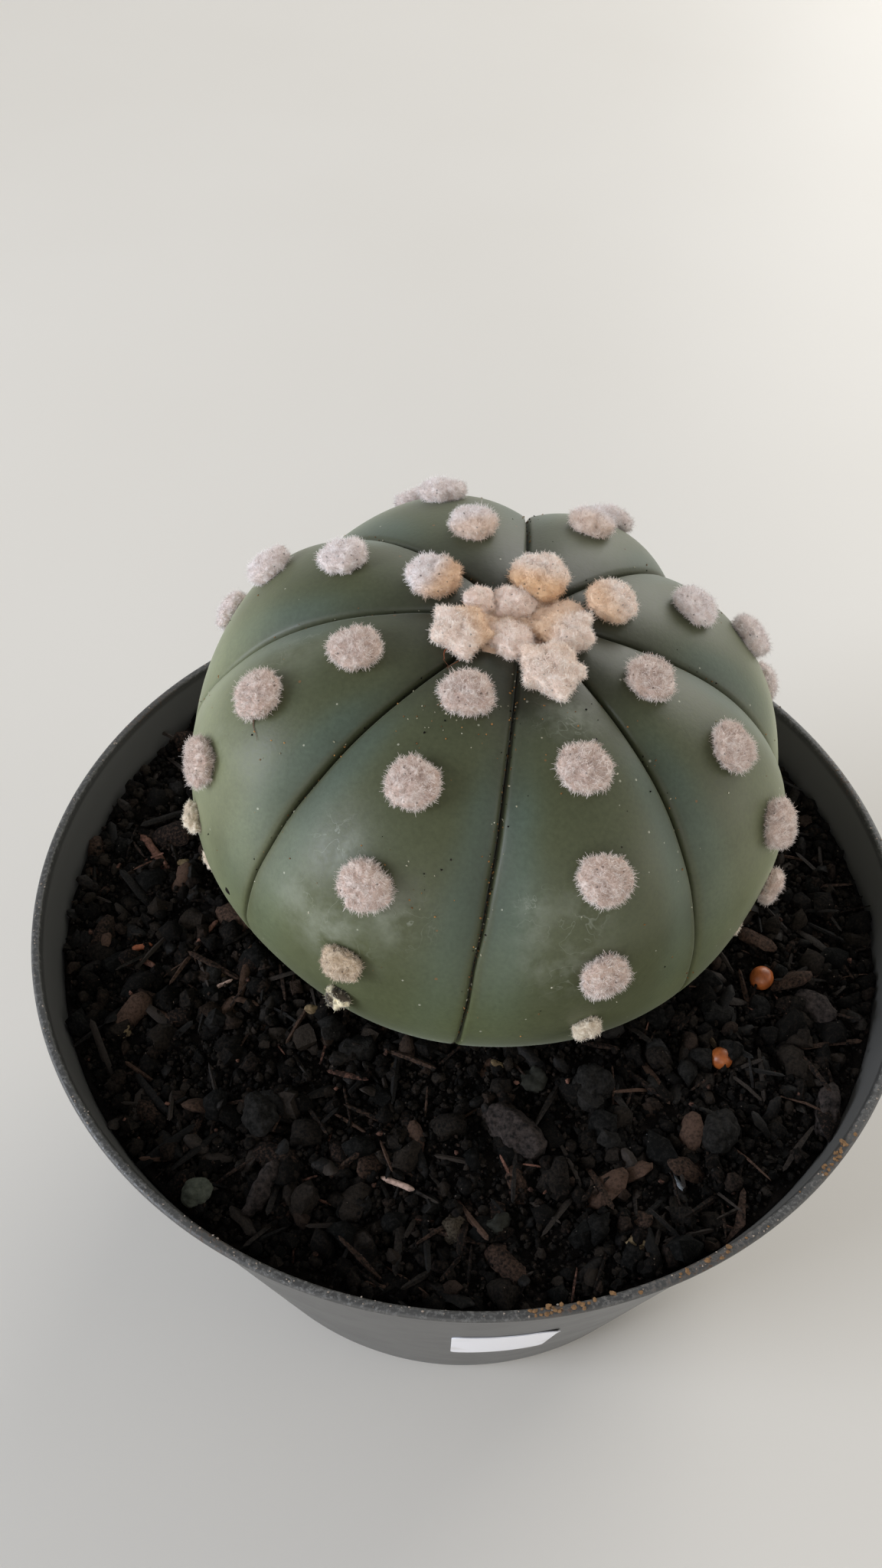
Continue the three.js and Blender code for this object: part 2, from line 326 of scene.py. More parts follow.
@dataclass(frozen=True)
class MouldedPolypropylene(Finish):
    """Black polypropylene from a polished mould: glossy, with handling dust that gathers on the lip."""

    black: str = "161617"
    dust: str = "6a6967"
    soil: str = "4b3a2e"

    def paint(self, tree: Tree, place: Socket) -> dict[str, Any]:
        """See Finish.paint."""
        lip, dirt, inside = (
            add_node(tree, "ShaderNodeAttribute", attribute_name=key).outputs["Fac"]
            for key in ("lip", "dirt", "inside")
        )
        # Clouds of dust a few millimetres across, broken up by grains of a few tenths.
        clouds = add_node(
            tree, "ShaderNodeTexNoise", {"Vector": place, "Scale": per_mm(9), "Detail": 6.0, "Roughness": 0.6}
        ).outputs["Fac"]
        grains = add_node(
            tree, "ShaderNodeTexNoise",
            {"Vector": place, "Scale": per_mm(0.5), "Detail": 3.0, "Roughness": 0.7},
        ).outputs["Fac"]
        film = add_node(
            tree, "ShaderNodeMapRange",
            {"Value": clouds, "From Min": 0.42, "From Max": 0.8, "To Min": 0.34, "To Max": 0.5},
        ).outputs["Result"]
        gritty = add_node(
            tree, "ShaderNodeMapRange", {"Value": grains, "From Min": 0.4, "From Max": 0.64}
        ).outputs["Result"]
        on_lip = add_node(tree, "ShaderNodeMath", {0: gritty, 1: lip}, operation="MULTIPLY").outputs["Value"]
        dusty = add_node(tree, "ShaderNodeMath", {0: film, 1: on_lip}, operation="MAXIMUM").outputs["Value"]
        # The inside of the wall is greyed near its top: partly dust, partly a painted reflection of the
        # window on the grazing wall.
        dusty = add_node(tree, "ShaderNodeMath", {0: dusty, 1: inside}, operation="MAXIMUM").outputs["Value"]
        smear = add_node(
            tree, "ShaderNodeMapRange", {"Value": grains, "From Min": 0.5, "From Max": 0.62}
        ).outputs["Result"]
        smeared = add_node(tree, "ShaderNodeMath", {0: smear, 1: dirt}, operation="MULTIPLY").outputs["Value"]
        worn = add_node(tree, "ShaderNodeMath", {0: dusty, 1: smeared}, operation="MAXIMUM").outputs["Value"]
        greyed = add_node(
            tree, "ShaderNodeMix", {"Factor": dusty, "A": linear(self.black), "B": linear(self.dust)},
            data_type="RGBA",
        ).outputs["Result"]
        colour = add_node(
            tree, "ShaderNodeMix", {"Factor": smeared, "A": greyed, "B": linear(self.soil)}, data_type="RGBA"
        ).outputs["Result"]
        roughness = add_node(tree, "ShaderNodeMapRange", {"Value": worn, "To Min": 0.16, "To Max": 0.75})
        # The faint ripple that a thin moulded wall shows in its reflections, with dust standing on it.
        ripple = add_node(
            tree, "ShaderNodeTexNoise", {"Vector": place, "Scale": per_mm(14), "Detail": 1.0}
        ).outputs["Fac"]
        soft = add_node(
            tree, "ShaderNodeBump", {"Strength": 0.25, "Distance": 0.12 * MM, "Height": ripple}
        ).outputs["Normal"]
        grit = add_node(
            tree, "ShaderNodeBump",
            {"Strength": 0.6, "Distance": 0.08 * MM, "Height": worn, "Normal": soft},
        ).outputs["Normal"]
        return {"Base Color": colour, "Roughness": roughness.outputs["Result"], "Normal": grit, "IOR": 1.49}


@dataclass(frozen=True)
class LabelPaper(Finish):
    """Coated white label paper: bright and matt, with faint fibre and a little grime."""

    white: str = "eeeef4"
    grime: str = "b9b2a6"

    def paint(self, tree: Tree, place: Socket) -> dict[str, Any]:
        """See Finish.paint."""
        clouds = add_node(
            tree, "ShaderNodeTexNoise", {"Vector": place, "Scale": per_mm(7), "Detail": 5.0}
        ).outputs["Fac"]
        soiled = add_node(
            tree, "ShaderNodeMapRange", {"Value": clouds, "From Min": 0.55, "From Max": 0.8, "To Max": 0.5}
        ).outputs["Result"]
        colour = add_node(
            tree, "ShaderNodeMix", {"Factor": soiled, "A": linear(self.white), "B": linear(self.grime)},
            data_type="RGBA",
        ).outputs["Result"]
        fibre = add_node(
            tree, "ShaderNodeTexNoise",
            {"Vector": place, "Scale": per_mm(0.5), "Detail": 4.0, "Roughness": 0.7},
        ).outputs["Fac"]
        bump = add_node(tree, "ShaderNodeBump", {"Strength": 0.3, "Distance": 0.03 * MM, "Height": fibre})
        return {"Base Color": colour, "Roughness": 0.55, "Normal": bump.outputs["Normal"]}


@dataclass(frozen=True)
class CactusSkin(Finish):
    """Living star cactus skin: waxy grey-green, yellower low down, with pale flecks; painted reflection on
    the flanks, painted light on the sides, partly painted shade at the crown and painted shade beside the
    creases.
    """

    crest: str = "4b4f37"
    # Darker: partly a greyer crown, partly painted shade on the upward-facing top.
    crown: str = "383a2d"
    # Bluish and lighter: a painted reflection of the window, on both flanks of each rib.
    flank_reflection: str = "4d594b"
    low: str = "636a47"
    # Much lighter: painted light on the skin that faces left and right.
    side: str = "878c6b"
    # The crease lines' own dark, which is also spread beside them as painted shade.
    fold: str = "17130e"
    fleck: str = "c9c7b4"
    rust: str = "8a5a34"
    scuff: str = "a9aea0"
    sheen: str = "d6dccb"

    def paint(self, tree: Tree, place: Socket) -> dict[str, Any]:
        """See Finish.paint."""
        marks = {
            key: add_node(tree, "ShaderNodeAttribute", attribute_name=key).outputs["Fac"]
            for key in ("crown", "flank_reflection", "low", "side", "scuff", "fold")
        }
        clouds = add_node(
            tree, "ShaderNodeTexNoise",
            {"Vector": place, "Scale": per_mm(11), "Detail": 4.0, "Roughness": 0.55},
        ).outputs["Fac"]
        mottle = add_node(
            tree, "ShaderNodeMapRange",
            {"Value": clouds, "From Min": 0.3, "From Max": 0.7, "To Min": -0.25, "To Max": 0.25},
        ).outputs["Result"]
        colour: Any = linear(self.crest)
        # Colour zones over the crest: a painted reflection on the flanks, yellower skin low down, painted
        # light on the sides and a darker crown that is partly painted shade.
        zones = {"crown": self.crown, "flank_reflection": self.flank_reflection, "low": self.low, "side": self.side}
        for zone, shade in zones.items():
            shifted = add_node(
                tree, "ShaderNodeMath", {0: marks[zone], 1: mottle}, operation="ADD", use_clamp=True
            ).outputs["Value"]
            share = add_node(
                tree, "ShaderNodeMath", {0: shifted, 1: marks[zone]}, operation="MULTIPLY", use_clamp=True
            ).outputs["Value"]
            colour = add_node(
                tree, "ShaderNodeMix", {"Factor": share, "A": colour, "B": linear(shade)}, data_type="RGBA"
            ).outputs["Result"]
        # Fine grain of the skin's cells, a few tenths of a millimetre across.
        grain = add_node(
            tree, "ShaderNodeTexNoise",
            {"Vector": place, "Scale": per_mm(0.5), "Detail": 3.0, "Roughness": 0.6},
        ).outputs["Fac"]
        value = add_node(
            tree, "ShaderNodeMapRange",
            {"Value": grain, "From Min": 0.25, "From Max": 0.75, "To Min": 0.86, "To Max": 1.14},
        ).outputs["Result"]
        colour = add_node(tree, "ShaderNodeHueSaturation", {"Color": colour, "Value": value}).outputs["Color"]
        colour = flecked(tree, place, colour, self.fleck, 1.7, 0.08, 0.16, 0.5)
        colour = flecked(tree, place, colour, self.rust, 3.4, 0.05, 0.25, 0.55)
        # Scuffs where wool has rubbed off on the skin: a soft haze with thin pale threads in it.
        cloudy = add_node(
            tree, "ShaderNodeTexNoise",
            {"Vector": place, "Scale": per_mm(5), "Detail": 5.0, "Roughness": 0.65},
        ).outputs["Fac"]
        haze = add_node(
            tree, "ShaderNodeMapRange", {"Value": cloudy, "From Min": 0.42, "From Max": 0.7, "To Max": 0.45}
        ).outputs["Result"]
        web = add_node(
            tree, "ShaderNodeTexNoise",
            {"Vector": place, "Scale": per_mm(3.4), "Detail": 3.0, "Roughness": 0.55, "Distortion": 0.5},
        ).outputs["Fac"]
        apart = add_node(tree, "ShaderNodeMath", {0: web, 1: 0.5}, operation="SUBTRACT").outputs["Value"]
        apart = add_node(tree, "ShaderNodeMath", {0: apart}, operation="ABSOLUTE").outputs["Value"]
        thread = add_node(
            tree, "ShaderNodeMapRange", {"Value": apart, "From Max": 0.012, "To Min": 0.4, "To Max": 0.0}
        ).outputs["Result"]
        rubbed = add_node(tree, "ShaderNodeMath", {0: haze, 1: thread}, operation="MAXIMUM").outputs["Value"]
        rubbed = add_node(
            tree, "ShaderNodeMath", {0: rubbed, 1: marks["scuff"]}, operation="MULTIPLY"
        ).outputs["Value"]
        colour = add_node(
            tree, "ShaderNodeMix", {"Factor": rubbed, "A": colour, "B": linear(self.scuff)}, data_type="RGBA"
        ).outputs["Result"]
        # Dark crease lines, with painted shade spread a few millimetres beside them.
        colour = add_node(
            tree, "ShaderNodeMix", {"Factor": marks["fold"], "A": colour, "B": linear(self.fold)},
            data_type="RGBA",
        ).outputs["Result"]
        roughness = add_node(tree, "ShaderNodeMapRange", {"Value": grain, "To Min": 0.36, "To Max": 0.56})
        bump = add_node(tree, "ShaderNodeBump", {"Strength": 0.35, "Distance": 0.06 * MM, "Height": grain})
        return {
            "Base Color": colour,
            "Roughness": roughness.outputs["Result"],
            "Normal": bump.outputs["Normal"],
            "IOR": 1.42, "Sheen Weight": 0.3, "Sheen Roughness": 0.35, "Sheen Tint": linear(self.sheen),
        }


@dataclass(frozen=True)
class MattedWool(Finish):
    """Matted areole wool: dull, amber where it is new, with painted shade that darkens its hairs towards
    their roots.
    """

    tips: str = "f6ece6"
    roots: str = "c1a99d"
    amber: str = "dcae78"
    speck: str = "43342b"

    def paint(self, tree: Tree, place: Socket) -> dict[str, Any]:
        """See Finish.paint."""
        tone, amber, tip = (
            add_node(tree, "ShaderNodeAttribute", attribute_name=key).outputs["Fac"]
            for key in ("tone", "amber", "tip")
        )
        clumps = add_node(
            tree, "ShaderNodeTexNoise",
            {"Vector": place, "Scale": per_mm(0.9), "Detail": 3.0, "Roughness": 0.7},
        ).outputs["Fac"]
        patches = add_node(
            tree, "ShaderNodeMapRange",
            {"Value": clumps, "From Min": 0.3, "From Max": 0.62, "To Min": -0.35, "To Max": 0.8},
        ).outputs["Result"]
        patchy = add_node(tree, "ShaderNodeMath", {0: patches, 1: tone}, operation="ADD").outputs["Value"]
        # Hairs grade from the darker roots colour, which the pad wears too, to the pale tips: painted shade
        # deep among the hairs.
        graded = add_node(
            tree, "ShaderNodeMath", {0: tip, 1: 0.7, 2: patchy}, operation="MULTIPLY_ADD"
        ).outputs["Value"]
        share = add_node(
            tree, "ShaderNodeMapRange", {"Value": graded, "From Min": 0.45, "From Max": 1.65}
        ).outputs["Result"]
        colour = add_node(
            tree, "ShaderNodeMix", {"Factor": share, "A": linear(self.roots), "B": linear(self.tips)},
            data_type="RGBA",
        ).outputs["Result"]
        colour = add_node(
            tree, "ShaderNodeMix", {"Factor": amber, "A": colour, "B": linear(self.amber)}, data_type="RGBA"
        ).outputs["Result"]
        bump = add_node(tree, "ShaderNodeBump", {"Strength": 0.8, "Distance": 0.18 * MM, "Height": clumps})
        return {
            # Specks of dust and dead spine tips, about a quarter of a millimetre across.
            "Base Color": flecked(tree, place, colour, self.speck, 0.75, 0.17, 0.4, 0.7),
            "Roughness": 0.95,
            "Normal": bump.outputs["Normal"],
            "Specular IOR Level": 0.2, "Sheen Weight": 0.3, "Sheen Roughness": 0.6,
        }


@dataclass(frozen=True)
class BrokenGrain(Finish):
    """A natural broken material, darker or lighter from piece to piece by the attribute tone."""

    dark: str = "0d0c0b"
    light: str = "2b2622"
    grain: float = 0.6
    roughness: float = 0.8
    depth: float = 0.15
    dull: float = 0.5
    mottle: float = 0.3
    fleck: str = ""

    def paint(self, tree: Tree, place: Socket) -> dict[str, Any]:
        """See Finish.paint."""
        tone = add_node(tree, "ShaderNodeAttribute", attribute_name="tone").outputs["Fac"]
        grit = add_node(
            tree, "ShaderNodeTexNoise",
            {"Vector": place, "Scale": per_mm(self.grain), "Detail": 4.0, "Roughness": 0.65},
        ).outputs["Fac"]
        spread = add_node(
            tree, "ShaderNodeMapRange",
            {
                "Value": grit, "From Min": 0.35, "From Max": 0.65,
                "To Min": -self.mottle, "To Max": self.mottle,
            },
        ).outputs["Result"]
        share = add_node(
            tree, "ShaderNodeMath", {0: tone, 1: spread}, operation="ADD", use_clamp=True
        ).outputs["Value"]
        colour = add_node(
            tree, "ShaderNodeMix", {"Factor": share, "A": linear(self.dark), "B": linear(self.light)},
            data_type="RGBA",
        ).outputs["Result"]
        if self.fleck:
            # Grains of sand and root hairs stuck to it, about a sixth of a millimetre across.
            colour = flecked(tree, place, colour, self.fleck, 0.7, 0.12, 0.1, 0.7)
        bump = add_node(
            tree, "ShaderNodeBump", {"Strength": 0.8, "Distance": self.depth * MM, "Height": grit}
        )
        return {
            "Base Color": colour,
            "Roughness": self.roughness,
            "Normal": bump.outputs["Normal"],
            "Specular IOR Level": self.dull,
        }


@dataclass(frozen=True)
class PaleFloor(Finish):
    """Honed pale floor: almost even, with a faint drift in tone."""

    pale: str = "e3dfd9"
    drift: str = "dbd6ce"

    def paint(self, tree: Tree, place: Socket) -> dict[str, Any]:
        """See Finish.paint."""
        clouds = add_node(
            tree, "ShaderNodeTexNoise", {"Vector": place, "Scale": per_mm(160), "Detail": 3.0}
        ).outputs["Fac"]
        colour = add_node(
            tree, "ShaderNodeMix", {"Factor": clouds, "A": linear(self.pale), "B": linear(self.drift)},
            data_type="RGBA",
        ).outputs["Result"]
        return {"Base Color": colour, "Roughness": 0.5}


class Material(Enum):
    """Every finish on the object and its floor."""

    POT = MouldedPolypropylene("moulded_black_polypropylene")
    PAPER = LabelPaper("coated_label_paper")
    SKIN = CactusSkin("waxy_cactus_skin")
    WOOL = MattedWool("matted_areole_wool")
    # Lighter wool for the tufts that face the window behind the plant: painted light.
    PAINTED_BACKLIT_WOOL = MattedWool("wool_painted_backlit", tips="fffafa", roots="dccdc8")
    FINE_WOOL = MattedWool("new_white_wool", tips="fff4ec", roots="ecd4c6")
    CREAM_WOOL = MattedWool("young_cream_wool", tips="fff6ee", roots="e4cdbe", amber="e4b988")
    OLD_WOOL = MattedWool("weathered_areole_wool", tips="fff6e6", roots="cbbaa4", amber="d2b890")
    TIRED_WOOL = MattedWool("tired_areole_wool", tips="ecdac4", roots="b09a82", amber="c9ac78")
    DEAD_WOOL = MattedWool("dead_areole_wool", tips="efe2c0", roots="33291a", amber="6b5a3a")
    # Fine peat dust between the grains: the darkest thing in the pot.
    DUST = BrokenGrain("moist_peat_dust", "0c0b0a", "221d1a", grain=0.9, roughness=0.95, depth=0.5, dull=0.1)
    # Crumbs of peat and compost: moist, so nearly black, with a paler grain stuck on here and there.
    CRUMB = BrokenGrain(
        "moist_peat_crumb", "0d0c0b", "2c2621", grain=0.4, roughness=0.95, depth=0.3, dull=0.1,
        mottle=0.4, fleck="6f635a",
    )
    BROWN_CRUMB = BrokenGrain(
        "fibrous_compost_crumb", "0d0b09", "342a24", grain=0.4, roughness=0.95, depth=0.35, dull=0.1,
        mottle=0.45, fleck="8a7566",
    )
    # Rice husk burnt to charcoal keeps a faint silky gloss on its ridges.
    HUSK = BrokenGrain(
        "carbonised_rice_husk", "080706", "312a25", grain=0.3, roughness=0.7, depth=0.08, dull=0.2, mottle=0.4
    )
    FIBRE = BrokenGrain(
        "weathered_bark_fibre", "0d0a08", "4c3a30", grain=0.35, roughness=0.9, depth=0.1, dull=0.15,
        mottle=0.45,
    )
    DARK_BARK = BrokenGrain(
        "rotted_dark_bark", "0d0b0a", "3d3532", grain=0.6, roughness=0.9, depth=0.35, dull=0.2, mottle=0.5
    )
    ROSY_BARK = BrokenGrain(
        "fresh_bark_splinter", "24160f", "7b574a", grain=0.45, roughness=0.85, dull=0.2, mottle=0.45
    )
    CHARCOAL = BrokenGrain(
        "broken_charcoal", "080807", "272523", grain=0.55, roughness=0.9, depth=0.35, dull=0.12,
        mottle=0.45, fleck="6d665f",
    )
    GRAVEL = BrokenGrain("dusty_green_gravel", "35392f", "5c6055", grain=0.8, roughness=0.9, dull=0.3)
    DARK_GRAVEL = BrokenGrain(
        "dark_green_gravel", "11110e", "2d2d27", grain=0.8, roughness=0.9, dull=0.2, mottle=0.4
    )
    TAN_CHIP = BrokenGrain(
        "dry_tan_chip", "2f2417", "7b6a50", grain=0.5, roughness=0.9, dull=0.2, mottle=0.4
    )
    # Weathered wood split along its grain: greyed by water outside, pale pink where it is fresh.
    GREY_WOOD = BrokenGrain(
        "weathered_grey_splinter", "24272b", "74787c", grain=0.7, roughness=0.7, dull=0.3, mottle=0.5
    )
    PINK_WOOD = BrokenGrain(
        "split_pink_wood", "4a3630", "c9ab9c", grain=0.6, roughness=0.8, dull=0.3, mottle=0.5
    )
    # A fuzzy ball of moss and root hair.
    MOSS = BrokenGrain(
        "mossy_root_crumb", "15110d", "4c443a", grain=0.3, roughness=1.0, depth=0.4, dull=0.05,
        mottle=0.5, fleck="7d7566",
    )
    # Fertiliser coated in coloured resin: smooth, with a dull skin of mix dust.
    PRILL = BrokenGrain(
        "resin_coated_fertiliser", "6f3518", "b4642f", grain=1.1, roughness=0.4, depth=0.05
    )
    # What falls on the skin: dry grit, flakes of sand and bark dust.
    OCHRE_CRUMB = BrokenGrain("ochre_grit", "6b4a26", "c08a4c", grain=0.2, roughness=0.85, depth=0.02)
    PALE_CRUMB = BrokenGrain("pale_grit", "8d8a72", "d8d4be", grain=0.2, roughness=0.85, depth=0.02)
    SOILED_GRIT = BrokenGrain("soiled_brown_grit", "3b2c20", "8a6844", grain=0.4, roughness=0.9, depth=0.05)
    PALE_GRIT = BrokenGrain("pale_brown_grit", "5d5348", "a3968a", grain=0.2, roughness=0.9, depth=0.02)
    RUSTY_BARK = BrokenGrain("rusty_bark_shred", "5c2f1c", "9a5634", grain=0.3, roughness=0.8, depth=0.02)
    FLOOR = PaleFloor("honed_pale_floor")


# ---- Geometry Nodes ------------------------------------------------------------------------------


@dataclass
class NodeRecipe:
    """A Geometry Nodes tree that sets instances on a mesh and is dropped once it has run."""

    asks: ClassVar[dict[str, str]] = {}
    name: str
    tree: Tree = field(init=False)
    sockets: dict[str, str] = field(init=False, default_factory=dict)
    given: Any = field(init=False)

    def __post_init__(self) -> None:
        """Builds the tree: its inputs, the recipe's own nodes, and its real instances with a material."""
        tree = self.tree = bpy.data.node_groups.new(self.name, "GeometryNodeTree")
        asked = {"Geometry": "Geometry", "Seed": "Int", "Material": "Material", **self.asks}
        for name, kind in asked.items():
            socket = tree.interface.new_socket(name, in_out="INPUT", socket_type=f"NodeSocket{kind}")
            self.sockets[name] = socket.identifier
        tree.interface.new_socket("Geometry", in_out="OUTPUT", socket_type="NodeSocketGeometry")
        self.given = add_node(tree, "NodeGroupInput").outputs
        real = add_node(tree, "GeometryNodeRealizeInstances", {"Geometry": self.build()})
        dressed = add_node(
            tree, "GeometryNodeSetMaterial",
            {"Geometry": real.outputs["Geometry"], "Material": self.given["Material"]},
        )
        add_node(tree, "NodeGroupOutput", {"Geometry": dressed.outputs["Geometry"]})

    def build(self) -> Socket:
        """Adds the recipe's own nodes and returns the geometry that they make."""
        raise NotImplementedError

    def leaning(self) -> Socket:
        """Returns a random turn for each point: any about Z, and up to the input Tilt about X and Y."""
        tree, tilt = self.tree, self.given["Tilt"]
        back = add_node(tree, "ShaderNodeMath", {0: tilt, 1: -1.0}, operation="MULTIPLY").outputs["Value"]
        low = add_node(tree, "ShaderNodeCombineXYZ", {"X": back, "Y": back, "Z": -math.pi})
        high = add_node(tree, "ShaderNodeCombineXYZ", {"X": tilt, "Y": tilt, "Z": math.pi})
        return add_node(
            tree, "FunctionNodeRandomValue",
            {"Min": low.outputs["Vector"], "Max": high.outputs["Vector"], "Seed": self.given["Seed"]},
            data_type="FLOAT_VECTOR",
        ).outputs["Value"]

    def run(self, obj: Obj, **values: Any) -> Obj:
        """Applies the tree to an object.

        Args:
            obj: The object whose mesh it starts from and replaces.
            values: The tree's inputs.

        Returns:
            The same object with the result as its mesh.
        """
        modifier = obj.modifiers.new(self.name, "NODES")
        modifier.node_group = self.tree
        for name, value in values.items():
            modifier[self.sockets[name]] = value
        return settle(obj)


class HairRecipe(NodeRecipe):
    """Grows short tapered hairs on a felt pad, and keeps the pad."""

    asks = dict.fromkeys(("Density", "Length", "Thickness", "Tilt"), "Float")

    def hair(self) -> Socket:
        """Returns one hair: a tapered line swept with a small circle, its attribute tip rising to 1."""
        tree, given = self.tree, self.given
        end = add_node(tree, "ShaderNodeCombineXYZ", {"Z": given["Length"]}).outputs["Vector"]
        line = add_node(tree, "GeometryNodeCurvePrimitiveLine", {"Start": (0, 0, 0), "End": end})
        along = add_node(tree, "GeometryNodeSplineParameter").outputs["Factor"]
        taper = add_node(
            tree, "ShaderNodeMapRange", {"Value": along, "To Min": 1.0, "To Max": 0.35}
        ).outputs["Result"]
        tapered = add_node(
            tree, "GeometryNodeSetCurveRadius", {"Curve": line.outputs["Curve"], "Radius": taper}
        )
        graded = add_node(
            tree, "GeometryNodeStoreNamedAttribute",
            {"Geometry": tapered.outputs["Curve"], "Name": "tip", "Value": along},
            data_type="FLOAT", domain="POINT",
        )
        section = add_node(
            tree, "GeometryNodeCurvePrimitiveCircle", {"Resolution": 3, "Radius": given["Thickness"]}
        )
        swept = add_node(
            tree, "GeometryNodeCurveToMesh",
            {
                "Curve": graded.outputs["Geometry"],
                "Profile Curve": section.outputs["Curve"],
                "Fill Caps": True,
            },
        )
        if "Scale" in swept.inputs:
            tree.links.new(taper, swept.inputs["Scale"])
        return swept.outputs["Mesh"]

    def build(self) -> Socket:
        """See NodeRecipe.build."""
        tree, given = self.tree, self.given
        points = add_node(
            tree, "GeometryNodeDistributePointsOnFaces",
            {"Mesh": given["Geometry"], "Density": given["Density"], "Seed": given["Seed"]},
        )
        spin = add_node(tree, "FunctionNodeEulerToRotation", {"Euler": self.leaning()})
        facing = add_node(
            tree, "FunctionNodeRotateRotation",
            {"Rotation": points.outputs["Rotation"], "Rotate By": spin.outputs["Rotation"]},
            rotation_space="LOCAL",
        )
        # Most hairs are short; a few stand out as whiskers.
        draw = add_node(
            tree, "FunctionNodeRandomValue", {2: 0.0, 3: 1.0, "Seed": given["Seed"]}, data_type="FLOAT"
        )
        long = add_node(tree, "ShaderNodeMath", {0: draw.outputs[1], 1: 4.0}, operation="POWER")
        size = add_node(
            tree, "ShaderNodeMath", {0: long.outputs["Value"], 1: 0.6, 2: 0.6}, operation="MULTIPLY_ADD"
        )
        hairs = add_node(
            tree, "GeometryNodeInstanceOnPoints",
            {
                "Points": points.outputs["Points"],
                "Instance": self.hair(),
                "Rotation": facing.outputs["Rotation"],
                "Scale": size.outputs["Value"],
            },
        )
        shade = add_node(tree, "FunctionNodeRandomValue", {2: 0.25, 3: 1.0, "Seed": 7}, data_type="FLOAT")
        toned = add_node(
            tree, "GeometryNodeStoreNamedAttribute",
            {"Geometry": hairs.outputs["Instances"], "Name": "tone", "Value": shade.outputs[1]},
            data_type="FLOAT", domain="INSTANCE",
        )
        joined = add_node(tree, "GeometryNodeJoinGeometry")
        for geometry in (toned.outputs["Geometry"], given["Geometry"]):
            tree.links.new(geometry, joined.inputs["Geometry"])
        return joined.outputs["Geometry"]


class ScatterRecipe(NodeRecipe):
    """Strews pieces from a collection over a bed, where the bed's attribute open allows."""

    asks = {
        **dict.fromkeys(("Density", "Smallest", "Largest", "Tilt", "Lift"), "Float"), "Pieces": "Collection",
    }

    def points(self) -> Socket:
        """Returns the points that the pieces stand on, each raised by up to the input Lift."""
        tree, given = self.tree, self.given
        allowed = add_node(tree, "GeometryNodeInputNamedAttribute", {"Name": "open"}, data_type="FLOAT")
        density = add_node(
            tree, "ShaderNodeMath", {0: allowed.outputs["Attribute"], 1: given["Density"]},
            operation="MULTIPLY",
        )
        points = add_node(
            tree, "GeometryNodeDistributePointsOnFaces",
            {"Mesh": given["Geometry"], "Density": density.outputs["Value"], "Seed": given["Seed"]},
        )
        rise = add_node(
            tree, "FunctionNodeRandomValue", {2: 0.0, 3: given["Lift"], "Seed": given["Seed"]},
            data_type="FLOAT",
        )
        offset = add_node(tree, "ShaderNodeCombineXYZ", {"Z": rise.outputs[1]})
        return add_node(
            tree, "GeometryNodeSetPosition",
            {"Geometry": points.outputs["Points"], "Offset": offset.outputs["Vector"]},
        ).outputs["Geometry"]

    def build(self) -> Socket:
        """See NodeRecipe.build."""
        tree, given = self.tree, self.given
        pieces = add_node(
            tree, "GeometryNodeCollectionInfo",
            {"Collection": given["Pieces"], "Separate Children": True, "Reset Children": True},
        )
        size = add_node(
            tree, "FunctionNodeRandomValue",
            {2: given["Smallest"], 3: given["Largest"], "Seed": given["Seed"]}, data_type="FLOAT",
        )
        which = add_node(
            tree, "FunctionNodeRandomValue", {4: 0, 5: 63, "Seed": given["Seed"]}, data_type="INT"
        )
        strewn = add_node(
            tree, "GeometryNodeInstanceOnPoints",
            {
                "Points": self.points(),
                "Instance": pieces.outputs["Instances"],
                "Pick Instance": True,
                "Instance Index": which.outputs[2],
                "Rotation": self.leaning(),
                "Scale": size.outputs[1],
            },
        )
        shade = add_node(tree, "FunctionNodeRandomValue", {2: 0.0, 3: 1.0, "Seed": 5}, data_type="FLOAT")
        deep = add_node(tree, "ShaderNodeMath", {0: shade.outputs[1], 1: 2.2}, operation="POWER")
        return add_node(
            tree, "GeometryNodeStoreNamedAttribute",
            {"Geometry": strewn.outputs["Instances"], "Name": "tone", "Value": deep.outputs["Value"]},
            data_type="FLOAT", domain="INSTANCE",
        ).outputs["Geometry"]

    def strew(
        self, bed: Obj, name: str, shapes: list[Shape], finish: Material, density: float,
        sizes: tuple[float, float], tilt: float, lift: float, seed: int,
    ) -> Obj:
        """Strews copies of a few shapes over a bed.

        Args:
            bed: The bed, which is left as it is.
            name: The new piece's name.
            shapes: What to strew, in millimetres.
            finish: Its finish.
            density: Copies to the square millimetre where the bed's attribute open is 1.
            sizes: The least and the greatest scale of a copy.
            tilt: How far a copy leans, in radians.
            lift: How far a copy may stand above the bed, in millimetres.
            seed: Fixed start of their places.

        Returns:
            The strewn copies as one piece.
        """
        group = bpy.data.collections.new(name)
        bpy.context.scene.collection.children.link(group)
        for number, (vertices, faces) in enumerate(shapes):
            mesh = bpy.data.meshes.new(f"{name}_{number}")
            mesh.from_pydata([tuple(c * MM for c in v) for v in vertices], [], faces)
            mesh.shade_smooth()
            mesh.set_sharp_from_angle(angle=math.radians(62))
            group.objects.link(bpy.data.objects.new(f"{name}_{number}", mesh))
        piece = bed.copy()
        piece.data = bed.data.copy()
        piece.name = name
        bpy.context.scene.collection.objects.link(piece)
        self.run(
            piece, Density=density / MM**2, Smallest=sizes[0], Largest=sizes[1], Tilt=tilt, Lift=lift * MM,
            Seed=seed, Pieces=group, Material=finish.value.material(),
        )
        for template in list(group.objects):
            bpy.data.objects.remove(template)
        bpy.data.collections.remove(group)
        return piece


# ---- Pot -----------------------------------------------------------------------------------------


